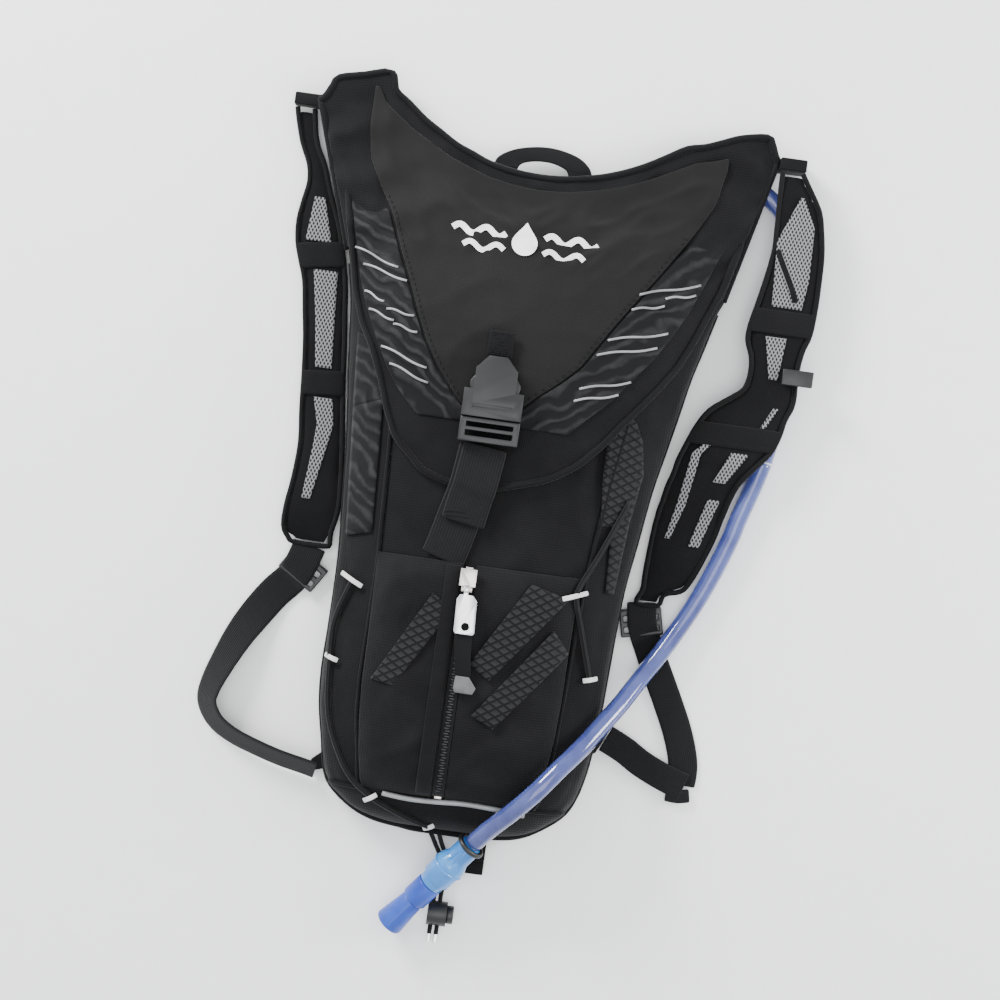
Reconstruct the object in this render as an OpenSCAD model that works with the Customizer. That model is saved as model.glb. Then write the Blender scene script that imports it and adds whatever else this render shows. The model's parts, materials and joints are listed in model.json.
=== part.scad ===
/* [Pack body] */
// Height of the front panel above the surface that the pack lies on
pack_depth = 46; // [40:1:50]
// Thickness of the body fabric with its lining
skin_t = 1.6; // [1.2:0.1:2]
// Thickness of the foam back pad
back_pad_t = 6; // [4:0.5:6]
// Height of the front pocket above the front panel
pocket_rise = 6.8; // [5:0.2:7]

/* [Flap] */
// Thickness of the flap
flap_t = 2.4; // [1.6:0.2:2.6]
// Gap between the front panel and the flap
flap_gap = 1.8; // [1.4:0.1:1.8]

/* [Straps] */
// Thickness of the shoulder pads
pad_t = 7; // [5:0.5:7]
// Width of the shoulder webbing
webbing_w = 20; // [18:1:22]
// Thickness of the shoulder webbing
webbing_t = 1.6; // [1.2:0.1:1.8]
// Thickness of the front strap
strap_t = 1.4; // [1:0.1:1.4]

/* [Drinking hose] */
// Outer diameter of the hose
hose_d = 10.5; // [9:0.5:10.5]
// Diameter of the flared end of the mouthpiece
mouth_d = 17; // [14:0.5:17]

/* [Buckle and small parts] */
// Width of the side release buckle
buckle_w = 33; // [32:0.5:34]
// Thickness of the buckle's top plate
buckle_top = 3.2; // [2.6:0.2:3.4]
// Diameter of the elastic side cord
cord_d = 3.2; // [2.6:0.2:3.4]
// Length of the metal zip puller
pull_l = 22; // [18:1:24]

/* [Hidden] */

fine = 48;
bx = -9;

// Left and right edge of the body for each y, and the height of its crown
edge_l = [[-207, -30], [-205, -45], [-200, -58], [-190, -71], [-180, -76], [-165, -79],
    [-145, -83], [-125, -84.5], [-100, -84], [-60, -84], [-30, -86], [0, -88], [25, -90.5],
    [45, -93], [66, -95], [85, -97], [105, -101], [127, -107], [145, -115], [165, -122],
    [185, -127], [197, -130]];
edge_r = [[-207, 25], [-205, 38], [-200, 49], [-190, 62], [-180, 68], [-165, 72],
    [-145, 74.5], [-125, 76], [-100, 77], [-60, 79], [-30, 83], [0, 87], [25, 92],
    [45, 96], [66, 100], [85, 105], [105, 110], [127, 120], [145, 130], [197, 131]];
crown = [[-207, 12], [-204, 20], [-200, 27], [-190, 34], [-175, 40.5], [-155, 44.5],
    [-130, pack_depth], [60, pack_depth], [80, pack_depth - 2.5], [100, pack_depth - 7],
    [120, 33], [140, 26.5], [160, 20.5], [180, 17], [220, 15]];
rim_z = 10;

function mid_x(y) = (lookup(y, edge_l) + lookup(y, edge_r)) / 2;
function half_w(y) = (lookup(y, edge_r) - lookup(y, edge_l)) / 2;
function dome(t) = pow(max(0, 1 - pow(min(1, abs(t)), 2.6)), 1 / 2.2);
// A point on the body's surface, moved out by d
function on_body(u, y, d) = [mid_x(y) + u * (half_w(y) + d), y,
    rim_z + (lookup(y, crown) + d - rim_z) * dome(u)];
function body_z(x, y, d) = on_body((x - mid_x(y)) / (half_w(y) + d), y, d)[2];

function unit(v) = v / norm(v);
function blend4(a, b, c, d, t) = 0.5 * (2 * b + (c - a) * t
    + (2 * a - 5 * b + 4 * c - d) * t * t + (3 * b - a - 3 * c + d) * t * t * t);
// A smooth curve through hand-placed points, n steps for each span
function curve(p, n) = let (m = len(p) - 1)
    [for (i = [0:m - 1]) for (k = [0:n - 1])
        blend4(p[max(i - 1, 0)], p[i], p[i + 1], p[min(i + 2, m)], k / n), p[m]];
function heading(p, i) = unit(p[min(i + 1, len(p) - 1)] - p[max(i - 1, 0)]);
function side_of(t) = unit(cross(t, [0, 0, 1]));

// A closed solid through a row of rings with equal numbers of points
module loft(rings) {
    n = len(rings[0]);
    m = len(rings);
    polyhedron(points = [for (r = rings) each r], faces = concat(
        [[for (k = [n - 1:-1:0]) k]],
        [[for (k = [0:n - 1]) (m - 1) * n + k]],
        [for (i = [0:m - 2]) for (k = [0:n - 1]) each let (q = (k + 1) % n)
            [[i * n + k, i * n + q, (i + 1) * n + q],
            [i * n + k, (i + 1) * n + q, (i + 1) * n + k]]]));
}

// A round tube of diameter d along a route
module tube(route, d, sides) {
    loft([for (i = [0:len(route) - 1])
        let (t = heading(route, i), s = side_of(t), u = cross(s, t))
        [for (k = [0:sides - 1])
            route[i] + d / 2 * (cos(360 * k / sides) * s + sin(360 * k / sides) * u)]]);
}

// A flat band along a route of [x, y, z, tilt], w wide and t thick
module band(route, w, t) {
    loft([for (i = [0:len(route) - 1])
        let (p = [for (q = route) [q[0], q[1], q[2]]], h = heading(p, i), s = side_of(h),
            u = cross(s, h), a = route[i][3],
            across = w / 2 * (cos(a) * s + sin(a) * u),
            up = t / 2 * (cos(a) * u - sin(a) * s))
        [p[i] + across - up, p[i] + across + up, p[i] - across + up, p[i] - across - up]]);
}

// A closed slab between an upper and a lower grid of points, rows along y, columns along x
module slab(top, low) {
    r = len(top);
    c = len(top[0]);
    o = r * c;
    polyhedron(points = concat([for (a = top) each a], [for (a = low) each a]), faces = concat(
        [for (i = [0:r - 2]) for (j = [0:c - 2]) each let (a = i * c + j, b = a + c)
            [[a, b, b + 1], [a, b + 1, a + 1], [o + a, o + b + 1, o + b], [o + a, o + a + 1, o + b + 1]]],
        [for (i = [0:r - 2]) each let (a = i * c, b = a + c)
            [[b, a, o + a], [b, o + a, o + b]]],
        [for (i = [0:r - 2]) each let (a = i * c + c - 1, b = a + c)
            [[a, b, o + b], [a, o + b, o + a]]],
        [for (j = [0:c - 2]) each [[j, j + 1, o + j + 1], [j, o + j + 1, o + j]]],
        [for (j = [0:c - 2]) each let (a = (r - 1) * c + j)
            [[a + 1, a, o + a], [a + 1, o + a, o + a + 1]]]));
}

function steps(a, b, n) = [for (i = [0:n]) a + (b - a) * i / n];
module shell(us, ys) {
    slab([for (y = ys) [for (u = us) on_body(u, y, 0)]],
        [for (y = ys) [for (u = us) on_body(u, y, -skin_t)]]);
}

body_rows = concat(steps(-186, -130, 7), steps(-118, 98, 18));
side_rows = concat(body_rows, [110]);
side_cols = [0.71, 0.77, 0.83, 0.88, 0.92, 0.955, 0.98, 0.994, 1];
panel_u = 0.7;

back_outline = [[-30, -204], [-42, -202], [-55, -197], [-68, -188], [-73, -178], [-76, -164],
    [-80, -144], [-81.5, -124], [-81, -100], [-81, -60], [-83, -30], [-85, 0], [-87.5, 25],
    [-90, 45], [-92, 66], [-94, 85], [-98, 105], [-104, 127], [-111, 146], [-117, 166],
    [-120, 184], [-108, 187], [-106, 207], [-96, 211], [-91, 203], [-82, 196], [-72, 188],
    [-62, 182], [-52, 175], [-41, 170], [-30, 165.5], [0, 162], [30, 165.5], [41, 170],
    [48, 172], [50, 166], [50, 130], [60, 126], [116, 126], [107, 107], [102, 85], [97, 66],
    [93, 45], [89, 25], [84, 0], [80, -30], [76, -60], [74, -100], [73, -125], [71.5, -145],
    [69, -164], [65, -178], [59, -188], [46, -197], [36, -202], [25, -204]];

// The upper edge of the yoke, from the left shoulder round the neck to the right shoulder
neck = [[-130, 195], [-127, 198], [-124, 204], [-121, 209], [-107, 212.5], [-92, 216],
    [-88, 206], [-80, 200], [-70, 192], [-60, 186], [-50, 180], [-40, 176], [-30, 172],
    [-15, 169], [0, 168], [15, 169], [30, 172], [40, 175], [50, 179], [60, 184], [70, 190],
    [80, 196], [90, 198.5], [100, 202.5], [110, 206.5], [124, 209], [127, 206], [130, 199],
    [132, 196]];

// Flap outline: left and right edge for each y
flap_l = [[-11.5, -20], [-10.5, -30], [-6, -42], [1, -50], [10, -60], [25, -67], [42, -73],
    [58, -80], [72, -88], [88, -94], [110, -97], [130, -101], [138, -103]];
flap_r = [[-11.5, 2], [-9, 5], [-5, 20], [1, 32], [9, 43], [22, 55], [29, 60], [42, 70],
    [55, 80], [70, 90], [85, 97], [98, 101], [118, 108], [138, 114]];
binding_w = [[-12, 14], [10, 13], [40, 8], [138, 7]];
hinge_y = 140;

// Drinking hose: inside the pack, along the right strap, and lying free over the pack
hose_in = [[36.5, -125, 34], [48, -121, 31], [58, -111, 25], [62, -97, 20], [62, -75, 17],
    [62, -40, 16.5], [62, 0, 16.5], [61, 50, 16.5], [61, 95, 16.5], [63, 122, 16],
    [68, 142, 12.5], [78, 162, 7.5], [92, 176, 5.8], [108, 182, 5.8], [124, 178.5, 5.8],
    [138, 169, 5.8], [147, 156, 5.8], [150, 141, 5.8]];
hose_strap = [[150.3, 139, 5.8], [152, 115, 5.8], [152, 90, 5.8], [151, 60, 5.8],
    [150, 40, 5.8], [148, 26, 5.8]];
hose_out = [[147.8, 25, 5.8], [144.5, 12, 5.8], [138.5, -8, 5.8], [135.5, -20, 5.8],
    [129.5, -38, 5.8], [122.8, -55, 5.8], [114.7, -72, 6], [105, -90, 8.5], [95, -106, 13.5],
    [85, -122, 22], [76, -134, 31], [66, -147, 41], [55, -160, 48], [44, -174, 50],
    [33, -187, 45], [22, -199, 37.5], [14, -209, 32]];
valve_to = [-27, -263, 10];
valve_len = norm(valve_to - hose_out[16]);
valve_aim = unit(valve_to - hose_out[16]);

module at_valve(s) {
    translate(hose_out[16] + valve_aim * s)
        rotate([0, acos(valve_aim[2]), atan2(valve_aim[1], valve_aim[0])]) children();
}

module back_pad() {
    color("#1d1d1f") linear_extrude(back_pad_t)
        polygon([[-45, -150], [40, -150], [52, -138], [55, -60], [55, 95], [42, 110],
            [-47, 110], [-60, 95], [-60, -60], [-57, -138]]);
}

module back_panel() {
    color("#161617") translate([0, 0, 6]) linear_extrude(4) polygon(back_outline);
}

module edge_binding() {
    color("#101011") translate([0, 0, 5.5]) linear_extrude(4.5) difference() {
        polygon(concat([for (e = edge_l) if (e[0] < 126) [e[1], e[0]]], [[-106, 124]],
            [[119, 124]], [for (k = [len(edge_r) - 1:-1:0]) if (edge_r[k][0] < 126)
                [edge_r[k][1], edge_r[k][0]]]));
        polygon(back_outline);
    }
}

module front_panel() {
    color("#1a1a1c") shell(steps(-panel_u, panel_u, 14), body_rows);
}

module side_panel_right() {
    color("#232325") shell(side_cols, side_rows);
}

module side_panel_left() {
    color("#232325") shell([for (k = [8:-1:0]) -side_cols[k]], side_rows);
}

module bottom_gusset() {
    us = concat([for (k = [8:-1:0]) -side_cols[k]], steps(-0.6, 0.6, 6), side_cols);
    color("#171718") shell(us, [-207, -205, -202, -199, -195, -191, -187]);
}

// The yoke covers both shoulders; its wings stay above the strap tops and the hose
module yoke() {
    n = len(neck) - 1;
    function spot(k, v) = let (b = [-103 + 215 * k / n, 112], x = b[0] + (neck[k][0] - b[0]) * v,
        y = b[1] + (neck[k][1] - b[1]) * v, u = 2 * k / n - 1)
        [x, y, 13.8 + (min(lookup(y, crown), 36) - 13.8) * dome(0.985 * u)];
    top = [for (v = steps(0, 1, 7)) [for (k = [0:n]) spot(k, v)]];
    color("#151516") slab(top, [for (r = top) [for (p = r) p - [0, 0, 2.2]]]);
}

// Height of the pocket above the front panel: low at its seams, flat over the middle
function pocket_d(x, y) = let (s = (x + 4) / (panel_u * half_w(y)), v = (y + 120) / 66)
    1.8 + pocket_rise * max(0, 1 - pow(abs(s), 8)) * max(0, 1 - pow(abs(v), 14));
function on_pocket(x, y, e) = [x, y, body_z(x, y, pocket_d(x, y) + e)];
pocket_rows = [-186, -184.5, -182, -178, -173, -166, -156, -146, -135, -122, -108, -94, -82,
    -72, -66, -61, -57.5, -55, -54];

module pocket_part(cols, e, t) {
    slab([for (y = pocket_rows) [for (k = cols) on_pocket(k[0] + k[1] * half_w(y), y, e)]],
        [for (y = pocket_rows) [for (k = cols) on_pocket(k[0] + k[1] * half_w(y), y, e - t)]]);
}

module pocket_left() {
    color("#1c1c1e") pocket_part([[-4, -0.7], [-4, -0.68], [-4, -0.64], [-4, -0.58], [-4, -0.5],
        [-4, -0.4], [-4, -0.28], [-12.6, 0]], 0, 1.4);
}

module pocket_right() {
    color("#1c1c1e") pocket_part([[-5.4, 0], [-4, 0.13], [-4, 0.28], [-4, 0.4], [-4, 0.5],
        [-4, 0.58], [-4, 0.64], [-4, 0.68], [-4, 0.7]], 0, 1.4);
}

module zip_placket() {
    color("#121213") pocket_part([[-21, 0], [-18, 0], [-15, 0]], 1.1, 1);
}

zip_rows = steps(-182, -58, 24);
module zip_part(x0, x1, e, t) {
    slab([for (y = zip_rows) [for (x = [x0, x1]) on_pocket(x, y, e)]],
        [for (y = zip_rows) [for (x = [x0, x1]) on_pocket(x, y, e - t)]]);
}

module zip_tape() {
    color("#0f0f10") zip_part(-12.3, -5.7, -0.6, 0.8);
}

module zip_coil() {
    color("#2a2a2c") zip_part(-10.4, -7.6, 0.5, 1);
}

module zip_stops() {
    color("silver") for (y = [-185, -56.7])
        translate([bx - 2, y - 1, on_pocket(bx, y - 1, 0.2)[2]]) cube([4, 2.2, 1.6]);
}

module reflective_piping() {
    pts = curve([[-40, -187.5], [-25, -188.5], [-10, -188], [5, -187], [20, -187.5],
        [40, -189.5]], 4);
    color("#b8babd") tube([for (p = pts) [p[0], p[1] - 1, body_z(p[0], p[1] - 1, 0) + 3]], 3, 8);
}

side_cord_l = [[-73, -72], [-80, -95], [-80, -117], [-76, -150], [-62, -178], [-46, -191],
    [-28, -199], [-12, -204.5]];
side_cord_r = [[74, -8], [62, -38], [53, -58], [52, -66], [57, -82], [64, -104], [66, -110]];
// Height above whatever lies at a point, the pocket or the bare panel
function over_pocket(x, y, e) = let (on = y > -188 && y < -52 &&
    abs((x + 4) / (panel_u * half_w(y))) < 1.05)
    body_z(x, y, e + (on ? max(1.8, pocket_d(x, y)) : 0));
module side_cord(pts) {
    tube([for (p = curve(pts, 4)) [p[0], p[1], over_pocket(p[0], p[1], 1.3 + cord_d / 2)]],
        cord_d, 8);
}

module shock_cord_left() {
    color("#0d0d0e") side_cord(side_cord_l);
}

module shock_cord_right() {
    color("#0d0d0e") side_cord(side_cord_r);
}

module cord_loops() {
    loops = [[-80, -69, -67, -75], [-83, -116, -75, -118], [-50, -194, -43, -189],
        [44, -66, 58, -61], [62, -110, 70, -108], [-15, -207, -9, -203]];
    color("#f2f2f0") for (q = loops) {
        row = [for (k = [0:2]) let (x = q[0] + (q[2] - q[0]) * k / 2,
            y = q[1] + (q[3] - q[1]) * k / 2, e = q[1] < -185 ? 7.8 : 4.2)
            [x, y, over_pocket(x, y, cord_d + e) + 0.4, 0]];
        band(row, 3, 1);
    }
}

module bottom_tab() {
    color("#121213") union() {
        translate([8, -230, 3]) cube([14, 30, 1.6]);
        translate([8, -230, 4.6]) cube([14, 6, 1.6]);
    }
}

module haul_anchor() {
    color("#101011") for (x = [-28, 15]) translate([x, 166.5, 7]) cube([14, 6.5, 3]);
}

module haul_loop() {
    color("#101011") translate([0, 0, 7]) linear_extrude(2.5) difference() {
        polygon([[-28, 174], [-27, 176], [-18, 180], [-10, 184.5], [-3, 187.5], [4, 188.5],
            [10, 187], [20, 181.5], [29, 176], [30, 174]]);
        polygon([[-14, 173], [-13, 176], [-8, 179.5], [-1, 182], [5, 182.5], [10, 180.5],
            [14, 176.5], [15, 173]]);
    }
}

module strap_anchors() {
    color("#101011") union() {
        translate([-145, 190.5, 0.5]) cube([14, 7, 9.5]);
        translate([-131, 190.5, 0.5]) cube([19, 7, 11]);
        translate([133, 190.5, 0.5]) cube([15, 7, 18]);
        translate([112, 190.5, 0.5]) cube([21, 7, 11]);
    }
}

module webbing_tabs() {
    color("#0e0e0f") translate([0, 0, 1.4]) linear_extrude(4) {
        polygon([[-84, -185], [-84, -178], [-64, -160], [-58, -176]]);
        polygon([[76.2, -152], [82.4, -138.3], [80, -132], [60, -128], [60, -160]]);
    }
}

// Left webbing: flat at the strap, turning on to its edge round the lower loop
web_l = [[-111, -79, 0], [-118, -87, 0], [-126, -99, 12], [-134, -113, 35], [-141, -129, 55],
    [-146, -143, 68], [-147, -153, 76], [-141, -163, 82], [-130, -170, 85], [-116, -175, 86],
    [-102, -179, 86], [-87, -182, 86]];
module webbing_left() {
    color("#111112") band([for (p = curve(web_l, 3)) [p[0], p[1],
        0.6 + webbing_w / 2 * sin(abs(p[2])) + webbing_t / 2, p[2]]], webbing_w, webbing_t);
}

module webbing_right() {
    leg = curve([[96.5, -84.5], [103, -98], [114, -119], [122, -136], [127, -152], [127, -166]], 3);
    back = curve([[131, -163], [118, -161], [104, -155], [92, -148], [81, -143]], 3);
    color("#111112") union() {
        band([for (p = leg) [p[0], p[1], 1.4, 0]], webbing_w - 3, webbing_t);
        band([for (p = back) [p[0], p[1], 3.2, 0]], webbing_w - 4, webbing_t);
        translate([118.5, -171, 0.6]) cube([15, 5.6, 3.4]);
    }
}

function bladder_h(u, v) = 0.8 + 8.7 * (1 - pow(u, 4)) * (1 - pow(v, 6));
module bladder() {
    us = steps(-1, 1, 10);
    vs = concat([-1, -0.94, -0.85], steps(-0.7, 0.7, 8), [0.85, 0.94, 1]);
    color("#9db7d6") slab(
        [for (v = vs) [for (u = us) [-8 + 58 * u, -16 + 134 * v, 21 + bladder_h(u, v)]]],
        [for (v = vs) [for (u = us) [-8 + 58 * u, -16 + 134 * v, 21 - bladder_h(u, v)]]]);
}

module bladder_neck() {
    color("#2f6fc0") translate([-8, 25, 30.6]) difference() {
        cylinder(r = 26, h = 4.9, $fn = fine);
        translate([0, 0, -1]) cylinder(r = 22.5, h = 8, $fn = fine);
    }
}

module bladder_cap() {
    color("#2558a8") translate([-8, 25, 32]) difference() {
        cylinder(r = 30, h = 9, $fn = fine);
        translate([0, 0, -1]) cylinder(r = 26.7, h = 5.2, $fn = fine);
        for (k = [0:11]) rotate([0, 0, 30 * k]) translate([31.2, 0, -1])
            cylinder(r = 2.2, h = 12, $fn = 24);
    }
}

module bladder_elbow() {
    color("#3a3a3d") union() {
        translate([20, -125, 28.5]) cylinder(r = 8, h = 9, $fn = fine);
        translate([20, -125, 34]) rotate([0, 90, 0]) cylinder(r = 5.2, h = 13.6, $fn = fine);
    }
}

module bladder_hanger() {
    color("#1f1f21") translate([-33, 120, 18]) difference() {
        cube([50, 9, 5]);
        translate([5, 2.5, -1]) cube([40, 4, 7]);
    }
}

module hose_port() {
    color("#2a2a2d") translate([0, 0, 6]) linear_extrude(4)
        polygon([[50.5, 131], [50.5, 158], [53.5, 158], [53.5, 133], [62, 129.5], [106, 129.5],
            [106, 126.5], [60.5, 126.5]]);
}

module hose_inside() {
    color("#8d9bd8") tube(curve(hose_in, 3), hose_d, 10);
}

module hose_held() {
    color("#8d9bd8") tube(curve(hose_strap, 3), hose_d, 10);
}

module hose_free() {
    color("#8d9bd8") tube(curve(hose_out, 3), hose_d, 10);
}

module valve_body() {
    color("#4aa3e8") union() {
        at_valve(1.1) cylinder(r = 7, h = 11, $fn = fine);
        at_valve(12.1) cylinder(r1 = 7, r2 = 9, h = 5, $fn = fine);
        at_valve(17.1) cylinder(r = 9, h = 13, $fn = fine);
        at_valve(30.1) cylinder(r = 7.4, h = 5, $fn = fine);
    }
}

module bite_mouthpiece() {
    color("#2b5fc4") difference() {
        union() {
            at_valve(35.6) cylinder(r = 7.6, h = 14, $fn = fine);
            at_valve(49.6) cylinder(r1 = 6.4, r2 = mouth_d / 2, h = valve_len - 49.6, $fn = fine);
        }
        at_valve(valve_len - 4) cylinder(r = 4.5, h = 6, $fn = fine);
    }
}

lock_y = -254.5;
lock_z = 7.6;
cord_xs = [-3.4, 0.4];
module cord_tail() {
    color("#0d0d0e") for (k = [0, 1]) {
        x = cord_xs[k];
        tube(curve([[x - 7 + k, -209.5, 8], [x - 3, -217, 4.4], [x + 2.4, -227, 2],
            [x + 1.8, -235, 3.2], [x, -242, lock_z], [x, -254, lock_z], [x, -267, lock_z]], 3),
            2.6, 8);
        translate([x, -267.1, lock_z]) rotate([90, 0, 0]) cylinder(r = 1.5, h = 4, $fn = 24);
    }
}

module cord_lock_body() {
    color("#0b0b0c") translate([-6, lock_y, lock_z]) difference() {
        rotate([0, 90, 0]) cylinder(r = 7, h = 11, $fn = fine);
        translate([7.6, 0, 0]) rotate([0, 90, 0]) cylinder(r = 5.6, h = 5, $fn = fine);
        for (x = cord_xs) translate([x + 6, 9, 0]) rotate([90, 0, 0])
            cylinder(r = 1.75, h = 18, $fn = 24);
    }
}

module cord_lock_button() {
    color("#1b1b1d") translate([4.9, lock_y, lock_z]) rotate([0, 90, 0])
        cylinder(r = 5.2, h = 4, $fn = fine);
}

// Over the yoke the flap clears its top face, which spans a little more than the flap does
function yoke_top(x, y) = let (w = min(1, max(0, (y - 112) / 84)), a = -103 - 28 * w,
    b = 112 + 20 * w, u = 2 * (x - a) / (b - a) - 1)
    13.8 + (min(lookup(y, crown), 36) - 13.8) * dome(0.93 * u);
function on_flap(x, y, e) = [x, y, max(body_z(x, y, flap_gap + flap_t + e),
    y > 108 ? yoke_top(x, y) + 1.6 + flap_t + e : 0)];
flap_low = [2, 10, 20, 32, 45, 58.5];
flap_high = [59, 70, 81, 92, 103, 110, 118, 128, 138];
notch = [-28, 10];
module flap_part(rows, x0, x1, n) {
    slab([for (i = [0:len(rows) - 1]) [for (k = [0:n])
            on_flap(x0[i] + (x1[i] - x0[i]) * k / n, rows[i], 0)]],
        [for (i = [0:len(rows) - 1]) [for (k = [0:n])
            on_flap(x0[i] + (x1[i] - x0[i]) * k / n, rows[i], -flap_t)]]);
}

function out_l(rows) = [for (y = rows) lookup(y, flap_l)];
function out_r(rows) = [for (y = rows) lookup(y, flap_r)];
function in_l(rows) = [for (y = rows) lookup(y, flap_l) + lookup(y, binding_w)];
function in_r(rows) = [for (y = rows) lookup(y, flap_r) - lookup(y, binding_w)];
function all_at(rows, x) = [for (y = rows) x];

// The flap is open along the strap, so that it lifts clear of the buckle's lower half
module flap_panel() {
    color("#19191b") union() {
        flap_part(flap_high, in_l(flap_high), in_r(flap_high), 18);
        flap_part(flap_low, in_l(flap_low), all_at(flap_low, notch[0]), 4);
        flap_part(flap_low, all_at(flap_low, notch[1]), in_r(flap_low), 5);
    }
}

module flap_binding() {
    tip = [-10.5, -8, -4, 1.8];
    color("#0f0f10") union() {
        flap_part(flap_high, out_l(flap_high), in_l(flap_high), 2);
        flap_part(flap_high, in_r(flap_high), out_r(flap_high), 2);
        flap_part(flap_low, out_l(flap_low), in_l(flap_low), 2);
        flap_part(flap_low, in_r(flap_low), out_r(flap_low), 2);
        flap_part(tip, out_l(tip), all_at(tip, notch[0]), 3);
        flap_part([-6, -3, 1.8], all_at([0, 0, 0], notch[1]), out_r([-6, -3, 1.8]), 4);
    }
}

dashes = [[-93, 111, -72, 104], [-91, 104, -66, 97], [-87, 88, -77, 84], [-75, 80, -59, 78],
    [-83, 78, -70, 74], [-70, 72, -56, 69], [-70, 57, -48, 50], [-64, 48, -46, 42],
    [63, 107, 95, 117], [78, 106, 93, 110], [60, 98, 78, 103], [49, 79, 82, 88],
    [44, 70, 77, 79], [37, 50, 65, 58], [35, 43, 57, 49]];
module flap_dashes() {
    color("#a9abae") for (q = dashes)
        band([for (k = [0:4]) let (x = q[0] + (q[2] - q[0]) * k / 4,
            y = q[1] + (q[3] - q[1]) * k / 4) [x, y, on_flap(x, y, 2.1)[2], 0]], 1.8, 0.6);
}

// A plain water drop over two wave lines
module flap_emblem() {
    color("#e8e8e6") union() {
        translate([-4, 128, on_flap(-4, 119, 0.5)[2]]) linear_extrude(0.8)
            polygon([for (a = [0:15:345]) let (r = 5 + 3.4 * pow(max(0, sin(a)), 6))
                [r * cos(a) * (1 - 0.45 * max(0, sin(a))), r * sin(a)]]);
        for (s = [-1, 1]) band([for (x = steps(9, 37, 7)) let (px = -4 + s * x,
            py = 127 + 2.2 * sin(26 * x)) [px, py, on_flap(px, py, 2.2)[2], 0]], 2.4, 0.8);
    }
}

module buckle_tab() {
    color("#101011") translate([bx - 7, 61.6, 51.6]) difference() {
        cube([14, 14, 2.4]);
        translate([3, 2.4, 1.4]) cube([8, 9, 2]);
    }
}

b_z = 50.8;
half_b = buckle_w / 2;
// Upper half of the buckle: a top plate, two side walls and a nose, open below and at the sides
module buckle_female() {
    nose = [[-5, 61], [5, 61], [11.5, 53.6], [-11.5, 53.6]];
    color("#0c0c0d") translate([bx, 0, b_z]) difference() {
        union() {
            translate([-half_b, 27, 10.8 - buckle_top]) cube([buckle_w, 15, buckle_top]);
            translate([-11.5, 41, 10.8 - buckle_top]) cube([23, 13, buckle_top]);
            linear_extrude(10.8) polygon(nose);
            for (s = [-half_b, half_b - 2]) translate([s, 27, 0]) cube([2, 15, 10.8]);
        }
        translate([-11, 32, 10.1]) cube([22, 2, 2]);
    }
}

// Lower half: a ladder frame for the strap, a centre guide and two sprung prongs
module buckle_male() {
    color("#0c0c0d") translate([bx, 0, b_z]) union() {
        translate([0, 0, 1.2]) difference() {
            translate([-half_b, 13, 0]) cube([buckle_w, 13.4, 8.4]);
            translate([-13, 16.2, -1]) cube([26, 3, 11]);
            translate([-13, 21.2, -1]) cube([26, 2.6, 11]);
        }
        translate([-13.6, 26.4, 2.8]) cube([27.2, 4.4, 3.8]);
        translate([-2.6, 30.8, 2.8]) cube([5.2, 19, 3.8]);
    }
}

module prong(s) {
    color("#0c0c0d") translate([bx + s * 11, 33.6, b_z + 2.8]) union() {
        cylinder(r = 2.4, h = 3.8, $fn = fine);
        linear_extrude(3.8) polygon([[-2.4 * s, 0], [2.4 * s, 0], [2.4 * s, 9], [3 * s, 11],
            [2.8 * s, 13], [-1 * s, 18.4], [-2.6 * s, 18.4], [-2 * s, 10]]);
    }
}

module prong_left() {
    prong(-1);
}

module prong_right() {
    prong(1);
}

module front_strap() {
    under = [[-23.9, -49.4, 0], [-22.4, -45, 0], [-19, -30, 0.4], [-16, -18, 2.6], [-14.5, -11, 4.9],
        [-13, 0, 4.9], [-11.8, 11.3, 5.6]];
    over = [[-16.5, -32, 2.6], [-14, -18, 4.6], [-12.5, -11, 6.7], [-11, 0, 6.8], [-9.6, 11.3, 7.4]];
    color("#131314") union() {
        band([for (p = curve(under, 2)) [p[0], p[1], pack_depth + 1.1 + p[2], 0]], 25, strap_t);
        band([for (p = curve(over, 2)) [p[0], p[1], pack_depth + 1.1 + p[2], 0]], 25, strap_t);
    }
}

pivot_y = -67.5;
pivot_z = 60.6;
module zip_slider() {
    color("#c9b7b4") union() {
        translate([bx - 4.5, -66, 55.9]) cube([9, 9.6, 2.2]);
        translate([bx - 3, -69, 55.9]) cube([6, 3, 2.2]);
        for (s = [-2.9, 1.7]) translate([bx + s, -69, 57]) cube([1.2, 3, 3.6]);
        for (s = [-2.9, 1.7]) translate([bx + s, pivot_y, pivot_z]) rotate([0, 90, 0])
            cylinder(r = 1.5, h = 1.2, $fn = 32);
        translate([bx - 2.9, pivot_y, pivot_z]) rotate([0, 90, 0])
            cylinder(r = 0.8, h = 5.8, $fn = 32);
    }
}

module zip_pull() {
    color("silver") difference() {
        union() {
            translate([bx - 1.2, pivot_y, pivot_z]) rotate([0, 90, 0])
                cylinder(r = 2.2, h = 2.4, $fn = 32);
            translate([bx - 1.2, -71, pivot_z - 2.2]) cube([2.4, 3.5, 1.6]);
            translate([0, 0, pivot_z - 2.2]) linear_extrude(1.6)
                polygon([[bx - 3, -70.6], [bx + 4, -70.6], [bx + 6.5, -73.4],
                    [bx + 7.5, -69 - pull_l], [bx + 6.5, -70.2 - pull_l], [bx - 3, -70.2 - pull_l],
                    [bx - 4, -69 - pull_l], [bx - 4.6, -73.4]]);
        }
        translate([bx - 3, pivot_y, pivot_z]) rotate([0, 90, 0]) cylinder(r = 1.2, h = 6, $fn = 32);
        translate([bx + 2, -66 - pull_l, pivot_z - 5]) cylinder(r = 2.2, h = 8, $fn = 32);
    }
}

module zip_pull_tape() {
    color("#0f0f10") translate([0, 0, pivot_z - 3.4]) linear_extrude(1.1)
        polygon([[-12, -86], [-3, -86], [-1.5, -105], [0, -115], [-9, -115], [-12, -95]]);
}

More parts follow.
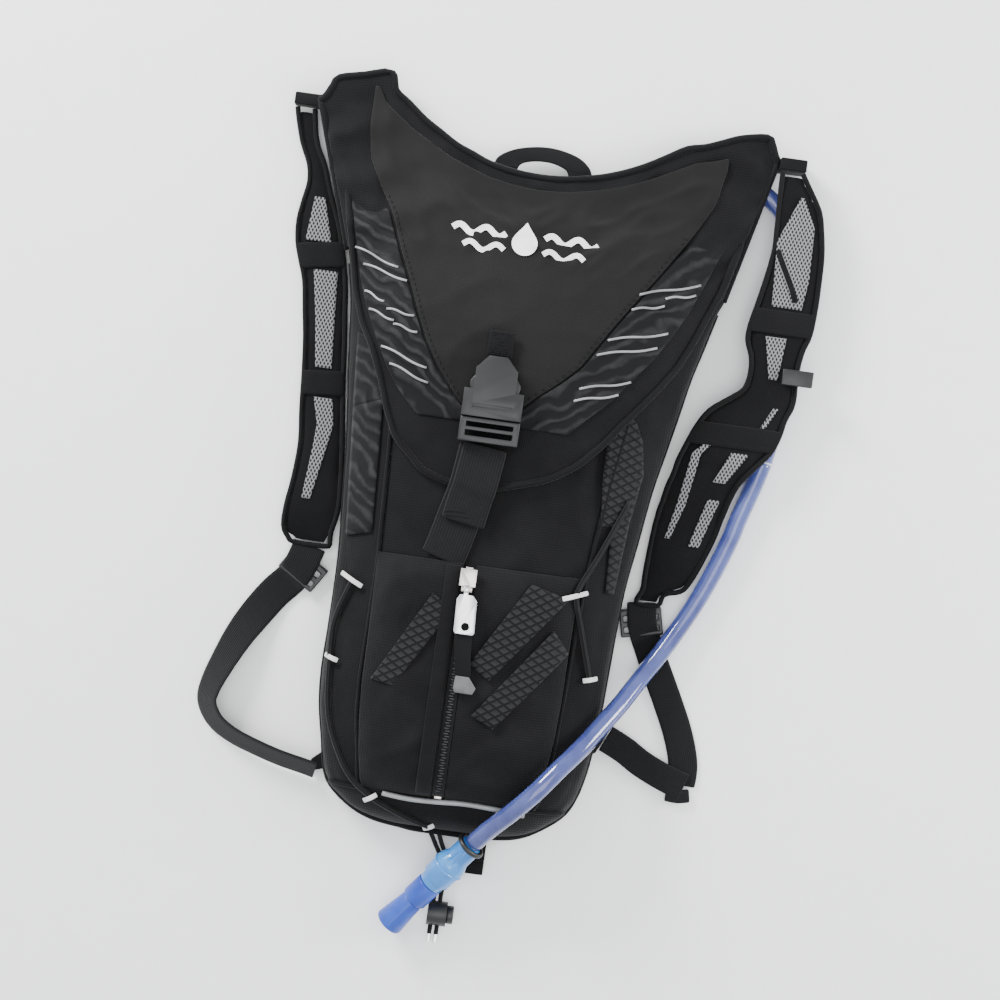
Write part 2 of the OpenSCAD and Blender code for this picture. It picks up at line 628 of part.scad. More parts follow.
module zip_badge() {
    color("#8f9193") translate([0, 0, pivot_z - 3.8]) linear_extrude(2)
        polygon([[-8.5, -115.2], [-1, -115.2], [3.5, -121], [2, -124.5], [-8, -124.5], [-9, -122]]);
}

// Shoulder pads as rows of [y, inner x, outer x, underside z]
pad_l = [[189.5, -131.5, -144.5, 0.6], [183, -130.5, -143, 0.6], [170, -127.5, -139, 0.6],
    [158, -124, -133.5, 0.6], [148, -120.5, -132, 0.6], [138, -116.5, -133.5, 0.6],
    [126, -111.5, -135, 0.6], [114, -108, -134, 0.6], [104, -105.5, -131, 0.6],
    [92, -103, -127, 0.6], [76, -101, -124.5, 0.6], [60, -99, -122, 0.6], [40, -97, -120, 0.6],
    [20, -94.5, -118.5, 0.6], [0, -92, -116.5, 0.6], [-20, -90, -117.5, 0.6],
    [-36, -89.5, -119.5, 0.6], [-48, -89, -119.5, 0.6], [-54, -89, -116, 0.6], [-56.5, -90.5, -112, 0.6]];
pad_r = [[189.5, 133.5, 148, 11.6], [183, 133.5, 152, 11.6], [170, 134, 160, 11.6],
    [158, 134.5, 163, 11.6], [145, 134.8, 165, 11.6], [130, 132.8, 165.5, 11.6],
    [115, 130, 165.5, 11.6], [100, 127, 164.5, 11.6], [92, 127, 162, 11.6],
    [84, 130, 160.5, 11.6], [75, 131, 160, 11.6], [65, 129, 160.5, 11.6], [58, 121, 160, 11.6],
    [50, 111, 157, 11.6], [40, 105, 155, 11.6], [30, 101, 151, 11.6], [20, 97.5, 143, 11.6],
    [12, 96, 137, 10], [5, 94, 134, 7], [-4, 92.5, 131.5, 4], [-12, 91, 129.6, 2],
    [-22, 90, 127.3, 0.6], [-36, 89, 122.5, 0.6], [-48, 88.5, 117.5, 0.6], [-54, 88.5, 113, 0.6],
    [-57, 88, 104, 0.6], [-64, 86, 101, 0.6]];

module pad_solid(rows) {
    n = len(rows) - 1;
    slab([for (k = [n:-1:0]) let (q = rows[k], a = min(q[1], q[2]), b = max(q[1], q[2]))
            [[a, q[0], q[3] + pad_t - 2], [a + 2, q[0], q[3] + pad_t], [b - 2, q[0], q[3] + pad_t],
            [b, q[0], q[3] + pad_t - 2]]],
        [for (k = [n:-1:0]) let (q = rows[k], a = min(q[1], q[2]), b = max(q[1], q[2]))
            [[a, q[0], q[3] + 2], [a + 2, q[0], q[3]], [b - 2, q[0], q[3]], [b, q[0], q[3] + 2]]]);
}

module strap_pad_left() {
    color("#121213") pad_solid(pad_l);
}

module strap_pad_right() {
    color("#121213") pad_solid(pad_r);
}

module plate(pts, z, t) {
    translate([0, 0, z]) linear_extrude(t) polygon(pts);
}

module strap_trim_left() {
    z = 0.6 + pad_t;
    color("#7d7f82") union() {
        plate([[-129.5, 100.5], [-105, 100.5], [-106, 114.5], [-131.5, 114.5]], z, 1.2);
        plate([[-118, 28.5], [-96.5, 28.5], [-98, 42.5], [-119, 42.5]], z, 1.2);
        plate([[-119, 99], [-107, 99], [-104, 44], [-112.5, 44]], z, 0.6);
        plate([[-111, 27], [-98, 27], [-97, 12], [-105, -31], [-110, -31]], z, 0.6);
    }
}

module strap_trim_right() {
    z = 11.6 + pad_t;
    color("#7d7f82") union() {
        plate([[130, 97.5], [162.5, 97.5], [163.5, 111.5], [131, 111.5]], z, 1.2);
        plate([[102.5, 30.5], [149, 30.5], [152.5, 43.5], [108, 43.5]], z, 1.2);
        plate([[147, 176], [157, 160], [158, 130], [156, 113], [138, 113], [137, 150]], z, 0.6);
        plate([[137, 96], [149, 96], [148, 73], [143, 73]], z, 0.6);
    }
}

module ladder_lock(x, y, a) {
    color("#0c0c0d") translate([x, y, 0.6]) rotate([0, 0, a]) difference() {
        translate([-12, -8, 0]) cube([24, 16, 4.4]);
        translate([-10, -5.6, -1]) cube([20, 3.2, 7]);
        translate([-10, 0.8, -1]) cube([20, 3.2, 7]);
    }
}

module ladder_lock_left() {
    ladder_lock(-103.5, -71, -32);
}

module ladder_lock_right() {
    ladder_lock(91.8, -74.5, 12);
}

module sternum_clip() {
    color("#0c0c0d") union() {
        translate([150, 70, 20.2]) cube([17.5, 9, 2.6]);
        translate([163.4, 72, 13]) cube([4.1, 5, 7.4]);
    }
}

back_pad();
back_panel();
edge_binding();
front_panel();
side_panel_left();
side_panel_right();
bottom_gusset();
yoke();
pocket_left();
pocket_right();
zip_placket();
zip_tape();
zip_coil();
zip_stops();
reflective_piping();
cord_loops();
shock_cord_left();
shock_cord_right();
bottom_tab();
haul_anchor();
strap_anchors();
webbing_tabs();
webbing_left();
webbing_right();
bladder();
bladder_neck();
bladder_cap();
bladder_elbow();
bladder_hanger();
hose_port();
hose_inside();
hose_free();
valve_body();
bite_mouthpiece();
cord_tail();
cord_lock_body();
cord_lock_button();
flap_panel();
flap_binding();
flap_dashes();
flap_emblem();
buckle_tab();
buckle_female();
front_strap();
buckle_male();
prong_left();
prong_right();
zip_slider();
zip_pull();
zip_pull_tape();
zip_badge();
haul_loop();
strap_pad_left();
strap_pad_right();
strap_trim_left();
strap_trim_right();
ladder_lock_left();
ladder_lock_right();
hose_held();
sternum_clip();
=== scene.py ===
# %% [markdown]
# # A small hydration pack, piece by piece
#
# A hydration pack is a flat fabric bag with a water bladder inside, two
# shoulder straps and a drinking hose. Its solids are already made and moved by
# joints. Here each soft or shaped piece gets its real look: folded cloth, piped
# edges, mesh, webbing, moulded plastic and a clear hose.
#
# Everything is in metres. +Z points out of the front of the pack, which lies on
# its back, and +Y points to the neck.

# %% Load the frame and set up
import bpy
import json
import math
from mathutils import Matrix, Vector, noise

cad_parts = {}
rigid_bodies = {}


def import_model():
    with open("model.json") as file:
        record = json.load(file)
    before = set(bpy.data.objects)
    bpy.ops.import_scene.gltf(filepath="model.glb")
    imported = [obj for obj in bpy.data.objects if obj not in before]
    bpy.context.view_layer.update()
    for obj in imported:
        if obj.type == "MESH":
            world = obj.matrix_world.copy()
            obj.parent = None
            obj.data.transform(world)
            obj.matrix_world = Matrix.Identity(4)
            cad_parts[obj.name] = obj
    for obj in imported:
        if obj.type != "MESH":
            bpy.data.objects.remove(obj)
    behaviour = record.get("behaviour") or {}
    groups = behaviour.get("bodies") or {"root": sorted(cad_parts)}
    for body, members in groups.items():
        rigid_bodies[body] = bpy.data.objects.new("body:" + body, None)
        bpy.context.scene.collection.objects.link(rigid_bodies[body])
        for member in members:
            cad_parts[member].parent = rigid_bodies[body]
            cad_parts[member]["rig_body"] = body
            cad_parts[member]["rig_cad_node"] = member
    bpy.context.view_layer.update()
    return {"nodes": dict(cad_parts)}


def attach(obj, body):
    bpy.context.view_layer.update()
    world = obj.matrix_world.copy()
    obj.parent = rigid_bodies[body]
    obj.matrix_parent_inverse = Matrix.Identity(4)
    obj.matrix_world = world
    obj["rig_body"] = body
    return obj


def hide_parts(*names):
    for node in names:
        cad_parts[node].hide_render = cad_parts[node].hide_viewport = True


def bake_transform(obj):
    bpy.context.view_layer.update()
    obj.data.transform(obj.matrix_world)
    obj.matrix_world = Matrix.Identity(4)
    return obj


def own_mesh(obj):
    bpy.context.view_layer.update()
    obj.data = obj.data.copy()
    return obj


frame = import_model()
bpy.ops.object.select_all(action="DESELECT")
MM = 0.001
print("solids:", len(frame["nodes"]))

# %% [markdown]
# ## Camera and light
#
# A product picture of a bag is taken from straight above on white. One could
# light it with a single lamp, but black cloth then turns into a hole. A big soft
# panel from the upper left and weaker ones round it show the folds, because a
# fold is seen only where its two sides get different light.

# %% Camera
bpy.ops.object.camera_add(location=(0.0023, -0.0166, 1.352), rotation=(0, 0, math.radians(8)))
camera = bpy.context.active_object
camera.data.lens = 85
bpy.context.scene.camera = camera
print("camera at", round(camera.location.z, 3), "m")

# %% Lights and floor
world = bpy.data.worlds.new("studio")
bpy.context.scene.world = world
world.use_nodes = True
world.node_tree.nodes["Background"].inputs["Color"].default_value = (0.96, 0.98, 1.0, 1)
world.node_tree.nodes["Background"].inputs["Strength"].default_value = 1.35


def soft_panel(name, place, target, size, watts):
    bpy.ops.object.light_add(type="AREA", location=place)
    lamp = bpy.context.active_object
    lamp.name = name
    lamp.data.shape = "SQUARE"
    lamp.data.size = size
    lamp.data.energy = watts
    lamp.rotation_euler = (Vector(target) - Vector(place)).to_track_quat("-Z", "Y").to_euler()


soft_panel("key_panel", (-0.85, 0.85, 0.62), (0, 0, 0), 0.45, 30)
soft_panel("rim_panel", (0.95, 0.2, 0.35), (0, 0, 0.02), 0.35, 9)
soft_panel("top_panel", (0.1, -0.3, 1.6), (0, 0, 0), 1.2, 14)

bpy.ops.mesh.primitive_plane_add(size=6, location=(0, 0, -0.0004))
floor = bpy.context.active_object
floor.name = "floor"
bpy.ops.object.transform_apply(location=True)
print("three soft panels and a floor")

# %% [markdown]
# ## Finishes
#
# Every finish is a small tree of nodes, because real cloth is never one colour.
# A picture of cloth would be quicker, but it would have a fixed size and show
# seams, while nodes are sharp at any distance. A weave is two crossing waves. A
# slow noise paints random lighter and darker places into the colour: partly
# faded cloth, partly painted shade that stands in for creases. The same waves
# drive the bump.

# %% Helpers for finishes
def new_finish(name, colour, rough, **sockets):
    mat = bpy.data.materials.new(name)
    mat.use_nodes = True
    shader = mat.node_tree.nodes["Principled BSDF"]
    shader.inputs["Base Color"].default_value = (*colour, 1)
    shader.inputs["Roughness"].default_value = rough
    shader.inputs["Specular IOR Level"].default_value = 0.14 if rough > 0.6 else 0.5
    for key, value in sockets.items():
        shader.inputs[key.replace("_", " ")].default_value = value
    mat.diffuse_color = (*colour, 1)
    return mat, mat.node_tree.nodes, mat.node_tree.links, shader


def add_node(nodes, kind, **settings):
    made = nodes.new(kind)
    for key, value in settings.items():
        if key in made.inputs:
            made.inputs[key].default_value = value
        else:
            setattr(made, key, value)
    return made


def link_math(nodes, links, operation, a, b):
    made = nodes.new("ShaderNodeMath")
    made.operation = operation
    for k, value in enumerate((a, b)):
        if isinstance(value, (int, float)):
            made.inputs[k].default_value = value
        else:
            links.new(value, made.inputs[k])
    return made.outputs[0]


def tint_between(nodes, links, factor, dark, light, low=0.0, high=1.0):
    """A ramp from a dark to a light colour"""
    ramp = nodes.new("ShaderNodeValToRGB")
    ramp.color_ramp.elements[0].position = low
    ramp.color_ramp.elements[0].color = (*dark, 1)
    ramp.color_ramp.elements[1].position = high
    ramp.color_ramp.elements[1].color = (*light, 1)
    links.new(factor, ramp.inputs[0])
    return ramp.outputs[0]


def bumped(nodes, links, shader, height, strength, distance):
    bump = add_node(nodes, "ShaderNodeBump", Strength=strength, Distance=distance)
    links.new(height, bump.inputs["Height"])
    links.new(bump.outputs[0], shader.inputs["Normal"])


def waves(nodes, links, coords, direction, scale, turn=0.0, distortion=0.0):
    mapping = add_node(nodes, "ShaderNodeMapping", Rotation=(0, 0, turn))
    links.new(coords, mapping.inputs["Vector"])
    wave = add_node(nodes, "ShaderNodeTexWave", wave_type="BANDS", bands_direction=direction,
                    Scale=scale, Distortion=distortion)
    links.new(mapping.outputs[0], wave.inputs["Vector"])
    return wave.outputs["Fac"]


print("helpers for finishes are ready")

# %% [markdown]
# ### Woven cloth
#
# The pack is sewn from a fine matte weave. A wave texture turns about 3.2 times
# for each unit of scale times metre, so a scale of 200 gives threads about
# 1.5 mm wide, a little bold so that the weave is still seen from a metre away.
# Sheen gives cloth the pale edge that tiny fibres catch.

# %% Woven cloth
def woven(name, dark, light, scale=210, turn=0.0, patch=28, depth=0.35, rough=0.82, sheen=0.25):
    mat, nodes, links, shader = new_finish(name, light, rough, Sheen_Weight=sheen,
                                           Sheen_Roughness=0.45)
    place = nodes.new("ShaderNodeTexCoord").outputs["Object"]
    across = waves(nodes, links, place, "X", scale, turn)
    along = waves(nodes, links, place, "Y", scale, turn)
    threads = link_math(nodes, links, "MULTIPLY", across, along)
    # Slow noise: random darker places in the colour, partly faded cloth and partly painted shade
    # standing in for creases
    patches = add_node(nodes, "ShaderNodeTexNoise", Scale=patch, Detail=5.0, Roughness=0.6)
    links.new(place, patches.inputs["Vector"])
    mixed = link_math(nodes, links, "ADD", link_math(nodes, links, "MULTIPLY", threads, 0.35),
                      link_math(nodes, links, "MULTIPLY", patches.outputs["Fac"], 0.75))
    links.new(tint_between(nodes, links, mixed, dark, light, 0.28, 0.85),
              shader.inputs["Base Color"])
    fuzz = add_node(nodes, "ShaderNodeTexNoise", Scale=260, Detail=3.0)
    links.new(place, fuzz.inputs["Vector"])
    height = link_math(nodes, links, "ADD", threads,
                       link_math(nodes, links, "MULTIPLY", fuzz.outputs["Fac"], 0.5))
    bumped(nodes, links, shader, height, depth, 0.0005)
    return mat


shell_cloth = woven("shell_cloth", (0.0022, 0.0022, 0.0026), (0.0085, 0.0085, 0.0095), sheen=0.06)
shield_cloth = woven("shield_cloth", (0.0042, 0.0041, 0.0041), (0.0098, 0.0095, 0.0093), scale=300,
                     turn=0.785, patch=16, depth=0.22, rough=0.72, sheen=0.08)
edge_cloth = woven("edge_cloth", (0.0015, 0.0015, 0.0018), (0.006, 0.006, 0.007), scale=260,
                   patch=40, rough=0.76, sheen=0.05)
foam_cloth = woven("foam_cloth", (0.0018, 0.0018, 0.0022), (0.0070, 0.0070, 0.0080), scale=330,
                   turn=0.6, patch=22, depth=0.5, rough=0.9, sheen=0.06)
print("cloths made")

# %% [markdown]
# ### Webbing and cord
#
# Webbing is woven in lengthwise ribs with a tight cross rib, and it follows the
# strap's own curve. So this finish reads the piece's UV map, in which V runs
# along the strap, and not the place in space. Cord is the same with a braid.

# %% Webbing and cord
def webbing(name, dark, light, along=120.0, across=5.0, depth=0.5, rough=0.7):
    mat, nodes, links, shader = new_finish(name, light, rough, Sheen_Weight=0.05)
    uv = nodes.new("ShaderNodeUVMap").outputs[0]
    ribs = waves(nodes, links, uv, "X", across)
    ticks = waves(nodes, links, uv, "Y", along)
    height = link_math(nodes, links, "ADD", ribs, link_math(nodes, links, "MULTIPLY", ticks, 0.6))
    shade = link_math(nodes, links, "MULTIPLY", height, 0.6)
    links.new(tint_between(nodes, links, shade, dark, light, 0.1, 0.9), shader.inputs["Base Color"])
    bumped(nodes, links, shader, height, depth, 0.0005)
    return mat


strap_web = webbing("strap_web", (0.002, 0.002, 0.0025), (0.010, 0.010, 0.011))
tape_web = webbing("tape_web", (0.0015, 0.0015, 0.002), (0.008, 0.008, 0.009), along=60, across=3)
side_cord = webbing("side_cord", (0.002, 0.002, 0.0025), (0.012, 0.012, 0.013), along=70, across=2,
                    depth=0.8)
loop_web = webbing("loop_web", (0.62, 0.62, 0.60), (0.92, 0.92, 0.90), along=8, across=2, depth=0.6,
                   rough=0.6)
print("webbings made")

# %% [markdown]
# ### Open mesh and honeycomb
#
# The strap windows are an open grey mesh, and parts of the side and pocket are
# printed with a raised honeycomb. A Voronoi texture on a jittered grid would
# look like pebbles. Two rows of crossing waves, turned to each side of the axis,
# give the even diamond net of knitted mesh.

# %% Mesh and honeycomb
def netted(name, thread, hole, cell, turn=0.52, depth=0.8, low=0.42, high=0.56):
    mat, nodes, links, shader = new_finish(name, thread, 0.75, Sheen_Weight=0.05)
    place = nodes.new("ShaderNodeTexCoord").outputs["Object"]
    one = waves(nodes, links, place, "X", cell, turn)
    two = waves(nodes, links, place, "X", cell, -turn)
    net = link_math(nodes, links, "MAXIMUM", one, two)
    links.new(tint_between(nodes, links, net, hole, thread, low, high), shader.inputs["Base Color"])
    bumped(nodes, links, shader, net, depth, 0.0006)
    return mat


window_mesh = netted("window_mesh", (0.20, 0.20, 0.21), (0.015, 0.015, 0.016), cell=170,
                     low=0.55, high=0.85)
honeycomb = netted("honeycomb", (0.0022, 0.0022, 0.0026), (0.015, 0.015, 0.0165), cell=75,
                   turn=1.02, low=0.70, high=0.93, depth=0.6)
back_mesh = netted("back_mesh", (0.010, 0.010, 0.011), (0.002, 0.002, 0.0025), cell=110, turn=0.785)
print("meshes made")

# %% [markdown]
# ### Ribbed side cloth
#
# The band between the flap's edge and its smooth middle, and the left side,
# are a slubbed cloth with slanting ridges. A distorted wave makes ridges that
# wander and fade, which straight ones never do in a sewn piece.

# %% Ribbed cloth
def ridged(name, dark, light, scale, turn):
    mat, nodes, links, shader = new_finish(name, dark, 0.68, Sheen_Weight=0.06)
    place = nodes.new("ShaderNodeTexCoord").outputs["Object"]
    ridge = waves(nodes, links, place, "Y", scale, turn, distortion=9.0)
    speckle = add_node(nodes, "ShaderNodeTexNoise", Scale=90, Detail=6.0, Roughness=0.7)
    links.new(place, speckle.inputs["Vector"])
    both = link_math(nodes, links, "MULTIPLY", ridge, speckle.outputs["Fac"])
    links.new(tint_between(nodes, links, both, dark, light, 0.22, 0.62),
              shader.inputs["Base Color"])
    bumped(nodes, links, shader, both, 0.8, 0.0012)
    return mat


ridge_left = ridged("ridge_left", (0.002, 0.002, 0.0025), (0.020, 0.020, 0.0215), 40, 0.55)
ridge_right = ridged("ridge_right", (0.002, 0.002, 0.0025), (0.018, 0.018, 0.0195), 40, -0.55)
print("ridged cloths made")

# %% [markdown]
# ### Hard and clear finishes
#
# Moulded plastic has a fine even grain, and random patches where its colour is
# lighter: partly worn places, partly a painted sheen. The zip is nickel. The hose
# is clear with a violet tint, so light has to pass through it, while a faint
# milky core keeps it visible on a white floor.

# %% Hard and clear finishes
def moulded(name, dark, light, rough=0.42, grain=900, depth=0.12, patch=60, **sockets):
    mat, nodes, links, shader = new_finish(name, light, rough, **sockets)
    place = nodes.new("ShaderNodeTexCoord").outputs["Object"]
    # Random lighter patches in the base colour: partly wear, partly a painted sheen
    tone = add_node(nodes, "ShaderNodeTexNoise", Scale=patch, Detail=4.0)
    links.new(place, tone.inputs["Vector"])
    links.new(tint_between(nodes, links, tone.outputs["Fac"], dark, light, 0.3, 0.7),
              shader.inputs["Base Color"])
    fine = add_node(nodes, "ShaderNodeTexNoise", Scale=grain, Detail=2.0)
    links.new(place, fine.inputs["Vector"])
    bumped(nodes, links, shader, fine.outputs["Fac"], depth, 0.0002)
    return mat


black_plastic = moulded("black_plastic", (0.0035, 0.0035, 0.004), (0.010, 0.010, 0.011))
nickel = moulded("nickel", (0.50, 0.46, 0.45), (0.74, 0.66, 0.64), rough=0.30, Metallic=1.0)
badge_grey = moulded("badge_grey", (0.03, 0.03, 0.032), (0.12, 0.12, 0.125), rough=0.5)
bright_metal = moulded("bright_metal", (0.62, 0.62, 0.63), (0.82, 0.82, 0.83), rough=0.25,
                       Metallic=1.0)
reflective = moulded("reflective", (0.13, 0.135, 0.14), (0.24, 0.25, 0.26), rough=0.35, grain=1500,
                     depth=0.3, Specular_IOR_Level=0.8)
white_print = moulded("white_print", (0.78, 0.78, 0.77), (0.95, 0.95, 0.94), rough=0.5, grain=1200,
                      depth=0.25)
clear_hose = moulded("clear_hose", (0.045, 0.06, 0.26), (0.12, 0.16, 0.46), rough=0.10, grain=30,
                     depth=0.05, Transmission_Weight=0.45, Coat_Weight=0.8, Coat_Roughness=0.05,
                     IOR=1.45)
valve_plastic = moulded("valve_plastic", (0.02, 0.20, 0.62), (0.07, 0.36, 0.84), rough=0.18,
                        grain=200, depth=0.05, Transmission_Weight=0.35, Coat_Weight=0.5)
bite_rubber = moulded("bite_rubber", (0.010, 0.045, 0.36), (0.03, 0.10, 0.50), rough=0.38,
                      grain=400, depth=0.1, Transmission_Weight=0.12)
film = moulded("film", (0.35, 0.48, 0.66), (0.50, 0.62, 0.78), rough=0.2, Transmission_Weight=0.5)

floor_mat = moulded("floor_paper", (0.95, 0.95, 0.95), (0.97, 0.97, 0.97), rough=0.9, grain=300,
                    depth=0.02)
floor.data.materials.append(floor_mat)
print("finishes:", len(bpy.data.materials))

# %% [markdown]
# ## The shape of the bag
#
# A full bag is a low dome over its back panel. The tables give the left and the
# right edge and the height of the crown at stations up the pack. They are the
# same stations as the solids use, so each cloth piece falls where it belongs.

# %% Stations and helpers for shape
SIDE_Z = 10
SIDES = ((-1, "left"), (1, "right"))
EDGE_L = [(-207, -30), (-205, -45), (-200, -58), (-190, -71), (-180, -76), (-165, -79),
          (-145, -83), (-125, -84.5), (-100, -84), (-60, -84), (-30, -86), (0, -88), (25, -90.5),
          (45, -93), (66, -95), (85, -97), (105, -101), (127, -107), (145, -115), (165, -122),
          (185, -127), (197, -130)]
EDGE_R = [(-207, 25), (-205, 38), (-200, 49), (-190, 62), (-180, 68), (-165, 72), (-145, 74.5),
          (-125, 76), (-100, 77), (-60, 79), (-30, 83), (0, 87), (25, 92), (45, 96), (66, 100),
          (85, 105), (105, 110), (127, 120), (145, 130), (197, 131)]
CROWN = [(-207, 12), (-204, 20), (-200, 27), (-190, 34), (-175, 40.5), (-155, 44.5), (-130, 46),
         (60, 46), (80, 43.5), (100, 39), (120, 33), (140, 26.5), (160, 20.5), (180, 17), (220, 15)]
NECK = [(-130, 195), (-127, 198), (-124, 204), (-121, 209), (-107, 212.5), (-92, 216), (-88, 206),
        (-80, 200), (-70, 192), (-60, 186), (-50, 180), (-40, 176), (-30, 172), (-15, 169),
        (0, 168), (15, 169), (30, 172), (40, 175), (50, 179), (60, 184), (70, 190), (80, 196),
        (90, 198.5), (100, 202.5), (110, 206.5), (124, 209), (127, 206), (130, 199), (132, 196)]


def look(x, table):
    """Straight-line reading of a table, held level past its ends"""
    if x <= table[0][0]:
        return table[0][1]
    for (a, p), (b, q) in zip(table, table[1:]):
        if x <= b:
            return p + (q - p) * (x - a) / (b - a)
    return table[-1][1]


def unit(value):
    """The value, held between 0 and 1"""
    return min(1, max(0, value))


def even_points(a, b, n):
    """The points that split the line from a to b into n equal steps"""
    return [tuple(p + (q - p) * k / n for p, q in zip(a, b)) for k in range(n + 1)]


def dome(t):
    """The height of the section, from 1 in the middle to 0 at the edges"""
    return max(0.0, 1 - min(1.0, abs(t)) ** 2.6) ** (1 / 2.2)


def middle(y):
    return (look(y, EDGE_L) + look(y, EDGE_R)) / 2


def half(y):
    return (look(y, EDGE_R) - look(y, EDGE_L)) / 2


def section_z(u, y, out):
    """The bag's height at share u of its half width, and out mm off its skin"""
    return SIDE_Z + (look(y, CROWN) + out - SIDE_Z) * dome(u)


def body_z(x, y, out=0.0):
    return section_z((x - middle(y)) / (half(y) + out), y, out)


def curve_through(points, steps):
    """A smooth curve through given points"""
    made = []
    for i in range(len(points) - 1):
        a, b = points[max(i - 1, 0)], points[i]
        c, d = points[i + 1], points[min(i + 2, len(points) - 1)]
        for k in range(steps):
            t = k / steps
            made.append(tuple(0.5 * (2 * q + (r - p) * t + (2 * p - 5 * q + 4 * r - s) * t * t
                                     + (3 * q - p - 3 * r + s) * t ** 3)
                              for p, q, r, s in zip(a, b, c, d)))
    made.append(tuple(points[-1]))
    return made


def along_curve(points, t):
    """The point at share t of a list of points, and the heading there"""
    place = min(max(t, 0.0), 1.0) * (len(points) - 1)
    i = min(int(place), len(points) - 2)
    a, b = Vector(points[i]), Vector(points[i + 1])
    return a.lerp(b, place - i), (b - a).normalized()


def crease(x, y, size, seed=0.0, stretch=1.0):
    """Soft wandering folds, from -1 to 1"""
    p = Vector((x / size, y / size / stretch, seed))
    return noise.noise(p) + 0.5 * noise.noise(p * 2.3) + 0.25 * noise.noise(p * 5.1)


def sharp_fold(x, y, size, seed=0.0, stretch=1.0):
    """Pinched folds: narrow ridges with wide valleys, from 0 to 1"""
    p = Vector((x / size, y / size / stretch, seed))
    return (1 - min(1.0, 2.2 * abs(noise.noise(p)))) ** 2


print("stations:", len(EDGE_L), "left,", len(EDGE_R), "right,", len(NECK), "round the neck")

# %% [markdown]
# ## How a cloth piece is made
#
# Each panel starts as a flat grid. Its points are then moved to the place where
# the panel lies, as if it were pulled over a form, and Solidify gives it a
# thickness inwards. Modelling each panel from loose faces would also work, but a
# grid keeps an even UV map, so a weave runs along the panel, and it subdivides
# cleanly.

# %% Cloth from a grid
def finish_piece(piece, mat, body, replaced=(), smooth_angle=None):
    """Gives the piece its finish and smooth shading, parents it to the body that it moves with and
    hides the solids it stands for
    """
    piece.data.materials.clear()
    piece.data.materials.append(mat)
    bpy.ops.object.select_all(action="DESELECT")
    piece.select_set(True)
    bpy.context.view_layer.objects.active = piece
    if smooth_angle is None:
        bpy.ops.object.shade_smooth()
    else:
        bpy.ops.object.shade_smooth_by_angle(angle=math.radians(smooth_angle))
    if body:
        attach(piece, body)
    if replaced:
        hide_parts(*replaced)
    bpy.ops.object.select_all(action="DESELECT")
    return piece


def apply_modifier(piece, kind, **settings):
    bpy.context.view_layer.objects.active = piece
    made = piece.modifiers.new(kind.lower(), kind)
    for key, value in settings.items():
        setattr(made, key, value)
    bpy.ops.object.modifier_apply(modifier=made.name)


def cloth(name, cols, rows, place, wall=1.4, levels=1, out=-1.0):
    """A grid put where place(s, t) says, in mm, with s across and t along from 0 to 1"""
    bpy.ops.object.select_all(action="DESELECT")
    bpy.ops.mesh.primitive_grid_add(x_subdivisions=cols, y_subdivisions=rows, size=1)
    piece = bpy.context.active_object
    piece.name = name
    piece.data.name = name
    for v in piece.data.vertices:
        v.co = Vector(place(v.co.x + 0.5, v.co.y + 0.5)) * MM
    if wall:
        apply_modifier(piece, "SOLIDIFY", thickness=wall * MM, offset=out)
    if levels:
        apply_modifier(piece, "SUBSURF", levels=levels, render_levels=levels)
    return piece


def ribbon(name, route, width, thick, rows=None, tilt=None, crown=0.0, levels=1, cols=4):
    """A flat strap along a route: width across, thick through, tilted about its own line"""
    def place(s, t):
        p, head = along_curve(route, t)
        side = head.cross(Vector((0, 0, 1))).normalized()
        up = side.cross(head)
        a = math.radians(look(t, tilt)) if tilt else 0.0
        across = math.cos(a) * side + math.sin(a) * up
        rise = math.cos(a) * up - math.sin(a) * side
        q = 2 * s - 1
        return p + across * (q * width / 2) + rise * (thick / 2 + crown * (1 - q * q))
    return cloth(name, cols, rows or len(route), place, wall=thick, levels=levels)


def joined(name, pieces):
    """Several meshes as one piece"""
    bpy.ops.object.select_all(action="DESELECT")
    for p in pieces:
        p.select_set(True)
    bpy.context.view_layer.objects.active = pieces[0]
    if len(pieces) > 1:
        bpy.ops.object.join()
    pieces[0].name = name
    pieces[0].data.name = name
    return pieces[0]


print("cloth, ribbon and joined are ready")

# %% [markdown]
# ## The drinking hose and the loose cord come first
#
# The hose is one soft tube 10.5 mm thick. It leaves the bladder, runs under the
# yoke and the right shoulder pad, and then lies free over the pack down to the
# bite valve. A curve with depth would be quick; here each stretch is a rolled
# grid: a mesh that is closed along its seam and at both ends.

# %% Round cords
WELD = 0.00001


def rolled(name, cols, rows, place):
    """A grid rolled into a tube: welded along its seam and capped at both ends"""
    piece = cloth(name, cols, rows, place, wall=0, levels=0)
    bpy.ops.object.mode_set(mode="EDIT")
    bpy.ops.mesh.select_all(action="SELECT")
    bpy.ops.mesh.remove_doubles(threshold=WELD)
    bpy.ops.mesh.select_all(action="DESELECT")
    bpy.ops.mesh.select_non_manifold()
    bpy.ops.mesh.fill_holes(sides=0)
    bpy.ops.object.mode_set(mode="OBJECT")
    return piece


def face_outward():
    """Turns every face of the active piece to look outwards"""
    bpy.ops.object.mode_set(mode="EDIT")
    bpy.ops.mesh.select_all(action="SELECT")
    bpy.ops.mesh.normals_make_consistent(inside=False)
    bpy.ops.object.mode_set(mode="OBJECT")


def round_cord(name, route, radius, around=14, per=1):
    """A round cord along a route in mm, closed at both ends"""
    route = curve_through(route, per) if per > 1 else route

    def place(s, t):
        p, head = along_curve(route, t)
        side = head.cross(Vector((0, 0, 1))).normalized()
        up = side.cross(head)
        a = 2 * math.pi * s
        return p + radius * (math.cos(a) * side - math.sin(a) * up)
    return rolled(name, around, len(route) - 1, place)


